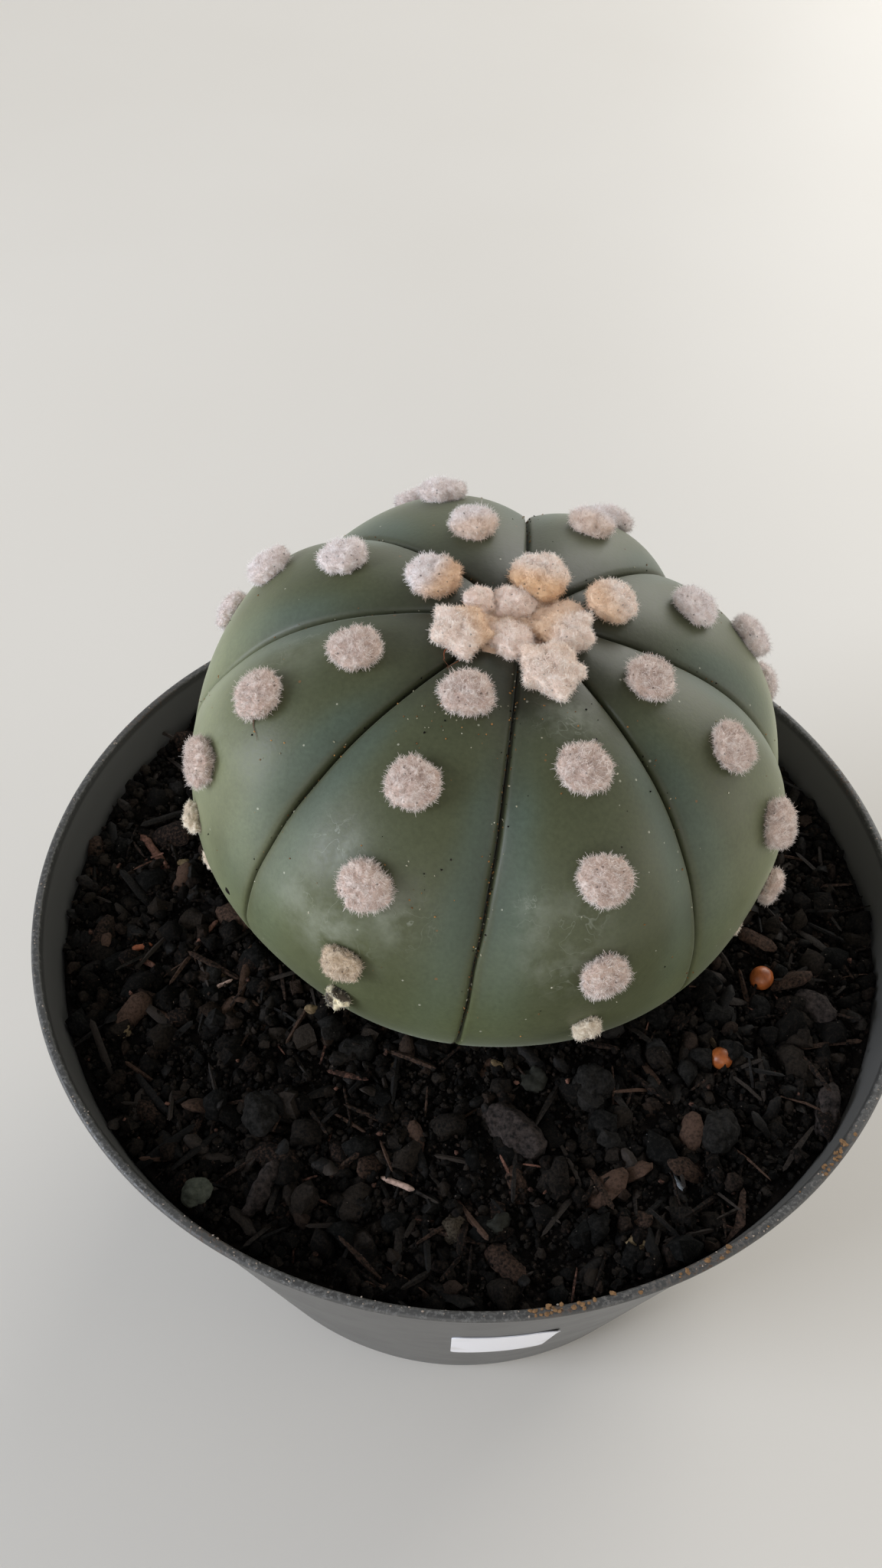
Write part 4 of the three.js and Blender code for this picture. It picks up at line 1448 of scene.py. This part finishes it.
@dataclass
class PottingMix:
    """Dark gritty mix of burnt husk, bark fibre, charcoal and peat crumbs, filling the pot round the stem."""

    pot: Pot
    stem: Stem
    level: float = 58.0
    mound: float = 1.0
    clearance: float = 0.15
    pit: float = 24.0
    rings: int = 120
    segments: int = 320
    first_seed: int = 11

    def height(self, x: float, y: float) -> float:
        """Height of the bed at a point, with its lumps and hollows."""
        share = math.hypot(x, y) / self.pot.inner(self.level)
        place = Vector((x, y, 0))
        lumps = noise.noise(place / 7.5) * 0.75 + noise.noise(place / 2.6 + Vector((0, 0, 9))) * 0.4
        return self.level - 0.4 + self.mound * (1 - share**2) + lumps + noise.noise(place / 0.9) * 0.22

    def ring(self, radius: float) -> list[tuple[float, float]]:
        """Returns a ring of points round the pot's axis, in millimetres."""
        return [polar(radius, 2 * math.pi * k / self.segments, 0)[:2] for k in range(self.segments)]

    def bed(self) -> Obj:
        """Returns the body of the mix with its fine top, and where pieces may lie on it."""
        edge = self.pot.inner(self.level) - self.clearance
        centre, reach = Vector(self.stem.centre[:2]), self.stem.radius
        vertices, openness = [], []
        for j in range(self.rings + 1):
            radius = edge * (j / self.rings)
            for x, y in self.ring(radius)[: self.segments if j else 1]:
                near = (Vector((x, y)) - centre).length
                pit = smooth_step(near, reach * 0.86, reach * 0.7) * self.pit
                vertices.append((x * MM, y * MM, (self.height(x, y) - pit) * MM))
                openness.append(float(near > reach * 0.84 and radius < edge - 0.6))
        bottom = self.pot.foot_height + self.pot.floor + 0.1
        for z in (40.0, 20.0, bottom):
            radius = self.pot.inner(z) - self.clearance - (1.0 if z == bottom else 0.0)
            vertices += [(x * MM, y * MM, z * MM) for x, y in self.ring(radius)]
            openness += [0.0] * self.segments
        bed = new_mesh_object("mix_bed", (vertices, self.bed_faces(self.rings + 3)), Material.DUST, 180)
        store(bed, "open", openness)
        store(bed, "tone", [0.5 + 0.5 * noise.noise(Vector(v) / MM / 3) for v in vertices])
        return bed

    def bed_faces(self, rings: int) -> list[tuple]:
        """Returns the bed's faces, ring by ring from its middle, and its flat bottom."""
        faces: list[tuple] = []
        for j in range(rings):
            upper, lower = 1 + (j - 1) * self.segments, 1 + j * self.segments
            for k in range(self.segments):
                n = (k + 1) % self.segments
                faces.append((upper + k, lower + k, lower + n, upper + n) if j else (0, lower + k, lower + n))
        return faces + [tuple(lower + k for k in reversed(range(self.segments)))]

    @staticmethod
    def strip(
        draw: random.Random, length: float, width: float, thick: float, stations: int, sides: int, cup: float,
        bow: float,
    ) -> Shape:
        """Shapes a husk, splinter or fibre: a strip with blunt ends, cupped across and bowed along.

        Args:
            draw: Source of its small irregularities.
            length: End to end, in millimetres.
            width: At its middle.
            thick: Through its middle.
            stations: Rings of points along it.
            sides: Points in each ring.
            cup: How far the edges turn down, as a share of the width.
            bow: How far the ends turn down, as a share of the length.

        Returns:
            Its shape in millimetres.
        """
        vertices = [(-length / 2, 0.0, -bow * length)]
        for i in range(stations):
            s = -math.cos(math.pi * (i + 0.5) / stations)
            full = (1 - abs(s) ** 5) ** 0.6 * draw.uniform(0.85, 1.1)
            for k in range(sides):
                a = 2 * math.pi * k / sides
                y = width / 2 * full * math.cos(a)
                z = thick / 2 * full * math.sin(a) - cup * width * (math.cos(a) * full) ** 2
                y += draw.uniform(-0.08, 0.08) * width
                vertices.append((s * length / 2, y, z - bow * length * s * s))
        vertices.append((length / 2, 0.0, -bow * length))
        return vertices, ring_faces(stations, sides, pointed=True, flip=True)

    @staticmethod
    def ball(size: float, cuts: int) -> bmesh.types.BMesh:
        """Returns a ball: an icosahedron if cuts is 0, or else a cube rounded off after so many cuts."""
        made = bmesh.new()
        if cuts == 0:
            bmesh.ops.create_icosphere(made, subdivisions=1, radius=size / 2)
            return made
        bmesh.ops.create_cube(made, size=size)
        bmesh.ops.subdivide_edges(made, edges=made.edges, cuts=cuts, use_grid_fill=True)
        for vertex in made.verts:
            vertex.co = vertex.co.normalized() * size / 2
        return made

    @classmethod
    def lump(cls, draw: random.Random, size: float, cuts: int, rough: float, flat: float) -> Shape:
        """Shapes an irregular grain.

        Args:
            draw: Source of its shape.
            size: Across, in millimetres.
            cuts: See ball.
            rough: How far its corners stray, as a share of its size.
            flat: Its height as a share of its size.

        Returns:
            Its shape in millimetres.
        """
        ball = cls.ball(size, cuts)
        stretch = (draw.uniform(0.8, 1.35), draw.uniform(0.75, 1.1), flat)
        drift = Vector((draw.uniform(0, 90), draw.uniform(0, 90), 0))
        vertices = []
        for vertex in ball.verts:
            place = vertex.co / size
            bulge = noise.noise(place * 2.4 + drift) * 2.2 + noise.noise(place * 6 + drift) * 0.8
            grow = 1 + (bulge + draw.uniform(-0.3, 0.3)) * rough
            vertices.append(tuple(c * grow * s for c, s in zip(vertex.co, stretch)))
        faces = [tuple(v.index for v in face.verts) for face in ball.faces]
        ball.free()
        return vertices, faces

    def layers(self) -> list[tuple]:
        """Returns each layer's name, finish, shapes, density, sizes, tilt, lift and slot."""
        draw = random.Random(41)
        husks = [self.strip(draw, 5.0, 1.9, 0.8, 5, 6, 0.3, 0.05) for _ in range(8)]
        any_of = draw.uniform
        slivers = [self.strip(draw, any_of(4, 11), any_of(0.5, 1.4), 0.5, 3, 4, 0.1, 0.04) for _ in range(10)]
        fibres = [self.strip(draw, any_of(5, 9), 0.4, 0.25, 3, 4, 0, any_of(0.02, 0.1)) for _ in range(6)]
        dust = [self.strip(draw, 1.0, 0.8, 0.7, 1, 4, 0, 0) for _ in range(8)]
        crumbs = [self.lump(draw, 1.0, 0, 0.24, 0.85) for _ in range(14)]
        lumps = [self.lump(draw, 1.0, 1, 0.28, 0.8) for _ in range(16)]
        chips = [self.strip(draw, 5.0, 2.8, 1.4, 5, 6, 0.1, 0.02) for _ in range(8)]
        return [
            ("peat_dust", Material.CRUMB, dust, 2.7, (0.25, 0.6), ANY_WAY_UP, 1.0, "potting_mix"),
            ("peat_dust_crumbs", Material.CRUMB, crumbs, 1.3, (0.45, 1.0), ANY_WAY_UP, 0.9, "potting_mix"),
            ("peat_crumbs", Material.CRUMB, lumps, 0.3, (0.9, 2.0), ANY_WAY_UP, 0.9, "potting_mix"),
            ("coarse_crumbs", Material.CRUMB, lumps, 0.045, (2.0, 4.2), ANY_WAY_UP, 0.8, "potting_mix"),
            ("brown_dust", Material.BROWN_CRUMB, dust, 0.5, (0.3, 0.7), ANY_WAY_UP, 1.6, "potting_mix"),
            ("brown_crumbs", Material.BROWN_CRUMB, lumps, 0.06, (0.7, 2.4), ANY_WAY_UP, 1.2, "potting_mix"),
            ("charcoal_bits", Material.CHARCOAL, lumps, 0.018, (1.6, 4.2), ANY_WAY_UP, 0.9, "charcoal"),
            ("bark_bits", Material.FIBRE, chips, 0.012, (0.5, 1.3), 0.7, 1.4, "bark"),
            ("burnt_husks", Material.HUSK, husks, 0.04, (0.5, 1.0), 0.8, 1.4, "potting_mix"),
            ("burnt_slivers", Material.HUSK, slivers, 0.045, (0.4, 1.0), 0.5, 1.7, "potting_mix"),
            ("bark_fibres", Material.FIBRE, slivers + fibres, 0.034, (0.35, 1.0), 0.5, 1.9, "bark"),
            ("rosy_splinters", Material.ROSY_BARK, slivers, 0.004, (0.25, 0.6), 0.5, 2.0, "bark"),
            ("rosy_crumbs", Material.ROSY_BARK, crumbs, 0.02, (0.3, 0.8), ANY_WAY_UP, 2.0, "bark"),
            ("tan_bits", Material.TAN_CHIP, chips, 0.002, (0.15, 0.4), 0.6, 1.7, "bark"),
        ]

    def keep_inside(self, piece: Obj) -> None:
        """Draws in every point of a strewn layer that would stand in the pot's wall."""
        places = np.empty(len(piece.data.vertices) * 3, np.float32)
        piece.data.vertices.foreach_get("co", places)
        places = places.reshape(-1, 3)
        radius = np.hypot(places[:, 0], places[:, 1])
        limit = (self.pot.outer(places[:, 2] / MM) - self.pot.wall - self.clearance) * MM
        limit = np.minimum(limit, (self.pot.lip_radius - self.pot.lip_width - self.clearance) * MM)
        pull = np.minimum(1, limit / np.maximum(radius, 1e-6))
        places[:, :2] *= pull[:, None]
        piece.data.vertices.foreach_set("co", places.ravel())
        piece.data.update()

    def make(self) -> None:
        """Builds the bed and strews its layers, and hands them over."""
        bed = self.bed()
        for number, (name, finish, shapes, density, sizes, tilt, lift, slot) in enumerate(self.layers()):
            seed = self.first_seed + number
            piece = RECIPES["scatter"].strew(bed, name, shapes, finish, density, sizes, tilt, lift, seed)
            self.keep_inside(piece)
            hand_over(piece, slot)
        hand_over(bed, "potting_mix", "potting_mix")


@dataclass
class LoosePieces:
    """The chips, lumps, grain and prills that stand out on the mix, each roughened from its CAD solid."""

    def roughen(self, node: str, name: str, finish: Material, cuts: int, amount: float, size: float) -> Obj:
        """Makes a fine, uneven copy of a CAD node.

        Args:
            node: The node to copy.
            name: The piece's name.
            finish: Its finish.
            cuts: How often each edge is halved.
            amount: How far the surface strays, in millimetres.
            size: Across its bumps, in millimetres.

        Returns:
            The piece.
        """
        work = bmesh.new()
        work.from_mesh(frame["nodes"][node].data)
        bmesh.ops.remove_doubles(work, verts=work.verts, dist=0.01 * MM)
        for _ in range(cuts):
            bmesh.ops.subdivide_edges(work, edges=work.edges, cuts=1, smooth=0.35, use_grid_fill=True)
        bmesh.ops.recalc_face_normals(work, faces=work.faces)
        for vertex in work.verts:
            place = vertex.co / MM
            stray = noise.noise(place / size) + 0.5 * noise.noise(place / size * 2.3)
            stray += 0.2 * noise.noise(place / 0.35)
            vertex.co += vertex.normal * stray * amount * MM
            vertex.co.z -= 0.5 * MM
        mesh = bpy.data.meshes.new(name)
        work.to_mesh(mesh)
        work.free()
        piece = object_of(name, mesh, finish)
        store(piece, "tone", np.full(len(mesh.vertices), 0.55))
        return piece

    def make(self) -> None:
        """Builds every loose piece and hands it over."""
        kinds = (
            ("bark_chip_", "bark_flake_", Material.DARK_BARK, 4, 0.5, 2.2, "bark"),
            ("charcoal_lump_", "charcoal_block_", Material.CHARCOAL, 3, 0.5, 2.0, "charcoal"),
            ("gravel_grain", "green_gravel", Material.GRAVEL, 3, 0.35, 1.8, "gravel"),
            ("fertiliser_prill_", "orange_prill_", Material.PRILL, 1, 0.06, 1.2, "prill_resin"),
        )
        for start, new_start, finish, cuts, amount, size, slot in kinds:
            for node in nodes_named(start):
                piece = self.roughen(node, node.replace(start, new_start), finish, cuts, amount, size)
                hand_over(piece, slot, node)


@dataclass
class SkinLitter:
    """Crumbs that have fallen on the skin and into its creases, and a few dry wisps caught on it."""

    stem: Stem
    skin: Obj
    crumb_sizes: tuple[float, float] = (0.1, 0.3)

    def crumbs(self, name: str, finish: Material, density: float, seed: int) -> Obj:
        """Returns one kind of crumb, strewn over the skin.

        Args:
            name: The piece's name.
            finish: Its finish.
            density: Crumbs per square millimetre where they lie thickest.
            seed: Fixed start of their places.
        """
        draw = random.Random(seed)
        shapes = [PottingMix.lump(draw, 1.0, 0, 0.25, 0.7) for _ in range(6)]
        strew = RECIPES["scatter"].strew
        return strew(self.skin, name, shapes, finish, density, self.crumb_sizes, ANY_WAY_UP, 0.03, seed)

    def wisp(
        self, name: str, node: str, way: tuple[float, float, float], bend: float, finish: Material
    ) -> Obj:
        """Returns a thin dry fibre that lies on the skin and hangs from the edge of a tuft.

        Args:
            name: The piece's name.
            node: The wool node that it hangs from.
            way: From the tuft's middle to the fibre's end, in millimetres.
            bend: How far its middle strays sideways, in millimetres.
            finish: Its finish.
        """
        low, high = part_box(node)
        start = (low + high) / 2
        sideways = Vector(way).cross(self.stem.seat(node)[1]).normalized()
        steps, sides, thick = 14, 5, 0.07
        points, faces = [], []
        for i in range(steps):
            share = i / (steps - 1)
            stray = sideways * bend * math.sin(math.pi * 1.6 * share)
            spot = start + (Vector(way) * (0.45 + 0.55 * share) + stray) * MM
            skin, normal, _, _ = self.stem.tree.find_nearest(spot)
            for k in range(sides):
                a = 2 * math.pi * k / sides
                radius = thick * (1.15 - share) * MM
                lift = normal * (0.12 * MM + radius * math.cos(a))
                points.append(skin + lift + sideways * radius * math.sin(a))
        for i in range(steps - 1):
            for k in range(sides):
                n = (k + 1) % sides
                a = i * sides
                faces.append((a + k, a + n, a + sides + n, a + sides + k))
        faces += [tuple(reversed(range(sides))), tuple(range((steps - 1) * sides, steps * sides))]
        piece = new_mesh_object(name, (points, faces), finish)
        store(piece, "tone", np.full(len(points), 0.8))
        return piece

    def make(self) -> None:
        """Builds the crumbs and wisps and hands them over."""
        hand_over(self.crumbs("ochre_crumbs", Material.OCHRE_CRUMB, 0.75, 61), "potting_mix")
        hand_over(self.crumbs("pale_crumbs", Material.PALE_CRUMB, 0.45, 62), "potting_mix")
        hand_over(self.crumbs("dark_crumbs", Material.CRUMB, 0.35, 63), "potting_mix")
        wisps = (
            ("rosy_wisp", "rib8_wool_2", (0.6, -3.4, -4.0), 0.35, Material.ROSY_BARK),
            ("rusty_wisp_1", "rib1_wool_1", (-2.4, 3.2, 1.2), 0.4, Material.RUSTY_BARK),
            ("rusty_wisp_2", "crown_wool_1", (-1.0, -4.6, -1.4), -0.5, Material.RUSTY_BARK),
            ("rusty_wisp_3", "crown_wool_1", (-2.0, -4.0, -1.4), 0.4, Material.RUSTY_BARK),
        )
        for name, node, way, bend, finish in wisps:
            hand_over(self.wisp(name, node, way, bend, finish), "bark")


@dataclass
class Strays:
    """Odd bits: splinters, fuzzy balls and chips on the mix, crumbs on the lip and a scar on the skin."""

    mix: PottingMix
    # Name, finish, where it lies, which way it points, length, width and thickness.
    splinters: tuple = (
        ("pink_sliver_1", Material.PINK_WOOD, (-6.5, -38.6), -19, 4.2, 0.7, 0.5),
        ("pink_sliver_2", Material.ROSY_BARK, (-43.0, 6.4), 128, 8.4, 1.3, 0.6),
        ("pink_sliver_3", Material.PINK_WOOD, (-30.1, -14.2), 35, 2.6, 0.5, 0.4),
        ("grey_sliver", Material.GREY_WOOD, (23.6, -34.2), -60, 7.6, 0.75, 0.5),
        ("brown_sliver_1", Material.ROSY_BARK, (-33.4, -6.6), 60, 4.4, 0.8, 0.5),
        ("brown_sliver_2", Material.FIBRE, (-26.9, -16.6), -15, 3.6, 0.8, 0.5),
        ("russet_sliver_1", Material.RUSTY_BARK, (-41.3, -9.2), 15, 2.6, 0.9, 0.5),
        ("russet_sliver_2", Material.ROSY_BARK, (-40.3, -11.4), -30, 3.0, 0.8, 0.5),
    )
    # Name, finish, where it lies, its size, and its height as a share of that.
    lumps: tuple = (
        ("mossy_ball_1", Material.MOSS, (0.1, -43.4), 3.4, 0.95),
        ("mossy_ball_2", Material.DARK_GRAVEL, (4.7, -43.0), 3.3, 0.9),
        ("green_lump", Material.DARK_GRAVEL, (8.6, -24.9), 3.4, 0.6),
        ("tan_lump", Material.TAN_CHIP, (20.2, -43.6), 1.9, 0.6),
        ("tan_chip", Material.TAN_CHIP, (-41.4, -21.0), 2.2, 0.4),
        ("tan_speck", Material.TAN_CHIP, (-38.6, 4.6), 1.4, 0.5),
        ("pink_crumb", Material.PINK_WOOD, (-11.2, -35.3), 0.9, 0.7),
    )
    lip_crumbs: int = 60
    lip_grit: int = 260
    hanging_bit: tuple[float, float, float, float] = (-18.2, -19.6, 63.6, 1.1)
    scar_at: tuple[float, float, float] = (-28.24, -11.24, 75.18)
    scar_size: tuple[float, float, float] = (1.0, 0.7, 0.3)

    @staticmethod
    def lay(name: str, finish: Material, shape: Shape, place: Matrix) -> Obj:
        """Turns a shape in millimetres into a piece that lies where the matrix puts it."""
        vertices, faces = shape
        piece = new_mesh_object(name, ([place @ Vector(v) * MM for v in vertices], faces), finish, 60)
        store(piece, "tone", np.full(len(vertices), 0.75))
        return piece

    def on_mix(self, x: float, y: float, turn: float, lift: float) -> Matrix:
        """Returns a place on the mix at x and y, in millimetres, turned so many degrees."""
        spot = Matrix.Translation(Vector((x, y, self.mix.height(x, y) + lift)))
        return spot @ Matrix.Rotation(math.radians(turn), 4, "Z")

    def crumbs(
        self, name: str, finish: Material, count: int, sizes: tuple[float, float], soiled: bool
    ) -> Obj:
        """Returns crumbs of mix that lie on the pot's lip.

        Args:
            name: The piece's name.
            finish: Its finish.
            count: How many there are.
            sizes: The smallest and the largest, in millimetres.
            soiled: Whether they lie where the lip is soiled at the front, rather than all round.
        """
        draw = random.Random(count)
        pot = self.mix.pot
        vertices, faces = [], []
        for _ in range(count):
            middle, reach = draw.choice(pot.soiled_lip[:3]) if soiled else (draw.uniform(-180, 180), 1)
            turn = math.radians(draw.gauss(middle, reach * 0.8))
            radius = pot.lip_radius - draw.uniform(0.25, pot.lip_width)
            spot = Matrix.Translation(Vector(polar(radius, turn, pot.height)))
            points, rings = PottingMix.lump(draw, draw.uniform(*sizes), 1, 0.3, 0.7)
            faces += [tuple(len(vertices) + i for i in ring) for ring in rings]
            vertices += [spot @ Vector(point) for point in points]
        return self.lay(name, finish, (vertices, faces), Matrix())

    def scar(self) -> Obj:
        """Returns the small black corky scar low on the left of the stem."""
        point, normal, _, _ = self.mix.stem.tree.find_nearest(Vector(self.scar_at) * MM)
        place = Matrix.Translation(point / MM) @ normal.to_track_quat("Z", "Y").to_matrix().to_4x4()
        shape = PottingMix.lump(random.Random(5), 1.0, 5, 0.2, 1.0)
        return self.lay("black_scar", Material.DUST, shape, place @ Matrix.Diagonal((*self.scar_size, 1)))

    def make(self) -> None:
        """Builds every stray and hands it over."""
        draw = random.Random(91)
        for name, finish, (x, y), turn, length, width, thick in self.splinters:
            shape = PottingMix.strip(draw, length, width, thick, 11, 8, 0.1, 0.02)
            hand_over(self.lay(name, finish, shape, self.on_mix(x, y, turn, 1.2)), "bark")
        for name, finish, (x, y), size, flat in self.lumps:
            shape = PottingMix.lump(draw, size, 9, 0.22, flat)
            place = self.on_mix(x, y, draw.uniform(0, 360), 0.8)
            hand_over(self.lay(name, finish, shape, place), "potting_mix")
        *spot, size = self.hanging_bit
        bit = PottingMix.lump(draw, size, 6, 0.2, 1.5)
        hand_over(self.lay("hanging_bit", Material.TAN_CHIP, bit, Matrix.Translation(spot)), "bark")
        russet = self.crumbs("lip_crumbs", Material.SOILED_GRIT, self.lip_crumbs, (0.15, 0.6), True)
        grit = self.crumbs("lip_grit", Material.PALE_GRIT, self.lip_grit, (0.08, 0.26), False)
        hand_over(russet, "potting_mix")
        hand_over(grit, "potting_mix")
        hand_over(self.scar(), "potting_mix")


# ---- Studio --------------------------------------------------------------------------------------


@dataclass
class Studio:
    """A plain pale floor, soft lights and the camera."""

    eye: tuple[float, float, float] = (0.0, -99.2, 198.8)
    yaw: float = -2.3
    pitch: float = 49.4
    roll: float = 1.04
    lens: float = 29.88
    floor_size: float = 6.0
    horizon: str = "f6f5f2"
    zenith: str = "7c7e80"
    sky_strength: float = 1.06

    def camera(self) -> None:
        """Sets the camera, looking down on the pot from the front."""
        yaw, pitch, roll = (math.radians(a) for a in (self.yaw, self.pitch, self.roll))
        ahead = Vector((math.sin(yaw) * math.cos(pitch), math.cos(yaw) * math.cos(pitch), -math.sin(pitch)))
        right = ahead.cross(Vector((0, 0, 1))).normalized()
        up = right.cross(ahead)
        right, up = right * math.cos(roll) + up * math.sin(roll), up * math.cos(roll) - right * math.sin(roll)
        lens = bpy.data.cameras.new("camera")
        lens.lens = self.lens
        lens.sensor_width = 36
        lens.clip_start = 0.01
        camera = bpy.data.objects.new("camera", lens)
        axes = Matrix((right, up, -ahead)).transposed().to_4x4()
        camera.matrix_world = Matrix.Translation(Vector(self.eye) * MM) @ axes
        bpy.context.scene.collection.objects.link(camera)
        bpy.context.scene.camera = camera

    def lamp(
        self, name: str, azimuth: float, elevation: float, far: float, size: float, power: float, tint: str
    ) -> None:
        """Adds a square soft light that faces the plant.

        Args:
            name: The light's name.
            azimuth: Degrees from +Y towards +X.
            elevation: Degrees above the floor.
            far: Metres from the plant.
            size: Metres across.
            power: Watts.
            tint: Its colour.
        """
        light = bpy.data.lights.new(name, "AREA")
        light.size = size
        light.energy = power
        light.color = linear(tint)[:3]
        lamp = bpy.data.objects.new(name, light)
        a, e = math.radians(azimuth), math.radians(elevation)
        ray = Vector((math.sin(a) * math.cos(e), math.cos(a) * math.cos(e), math.sin(e)))
        lamp.location = ray * far + Vector((0, 0, 0.06))
        lamp.rotation_mode = "QUATERNION"
        lamp.rotation_quaternion = ray.to_track_quat("Z", "Y")
        lamp.visible_camera = False
        bpy.context.scene.collection.objects.link(lamp)

    def sky(self) -> None:
        """Sets a sky that is bright at the horizon and dim overhead, as in a room lit by its windows."""
        world = bpy.data.worlds.new("room_daylight")
        bpy.context.scene.world = world
        world.use_nodes = True
        tree = world.node_tree
        ray = add_node(tree, "ShaderNodeTexCoord").outputs["Generated"]
        rise = add_node(tree, "ShaderNodeSeparateXYZ", {"Vector": ray}).outputs["Z"]
        height = add_node(
            tree, "ShaderNodeMapRange", {"Value": rise, "From Min": 0.0, "From Max": 0.9},
            interpolation_type="SMOOTHSTEP",
        ).outputs["Result"]
        colour = add_node(
            tree, "ShaderNodeMix", {"Factor": height, "A": linear(self.horizon), "B": linear(self.zenith)},
            data_type="RGBA",
        ).outputs["Result"]
        background = tree.nodes["Background"]
        tree.links.new(colour, background.inputs["Color"])
        background.inputs["Strength"].default_value = self.sky_strength

    def make(self) -> None:
        """Builds the floor, the lights and the camera."""
        half = self.floor_size / 2
        corners = [(-half, -half, 0), (half, -half, 0), (half, half, 0), (-half, half, 0)]
        floor = new_mesh_object("floor", (corners, [(0, 1, 2, 3)]), Material.FLOOR)
        self.sky()
        self.lamp("left_window", -110, 22, 1.1, 0.5, 9.5, "eaf2ff")
        self.lamp("back_window", 32, 26, 1.5, 1.1, 13.0, "fdfbf6")
        self.lamp("right_window", 94, 15, 1.5, 0.8, 3.6, "fdf6ee")
        self.lamp("front_wall", 184, 18, 1.8, 0.9, 4.5, "fdfaf4")
        bpy.context.scene.view_settings.view_transform = "Standard"
        self.camera()


RECIPES: dict[str, Any] = {}


def main() -> None:
    """Builds the whole object, piece by piece."""
    logging.basicConfig(level=logging.INFO, format="%(name)s: %(message)s")
    RECIPES["hair"] = HairRecipe("hair_on_felt")
    RECIPES["scatter"] = ScatterRecipe("strewn_pieces")
    Studio().make()
    pot = Pot()
    stem = Stem()
    pot.make()
    skin = stem.make()
    WoolTufts(stem).make()
    SkinLitter(stem, skin).make()
    mix = PottingMix(pot, stem)
    mix.make()
    Strays(mix).make()
    LoosePieces().make()


if __name__ == "__main__":
    main()
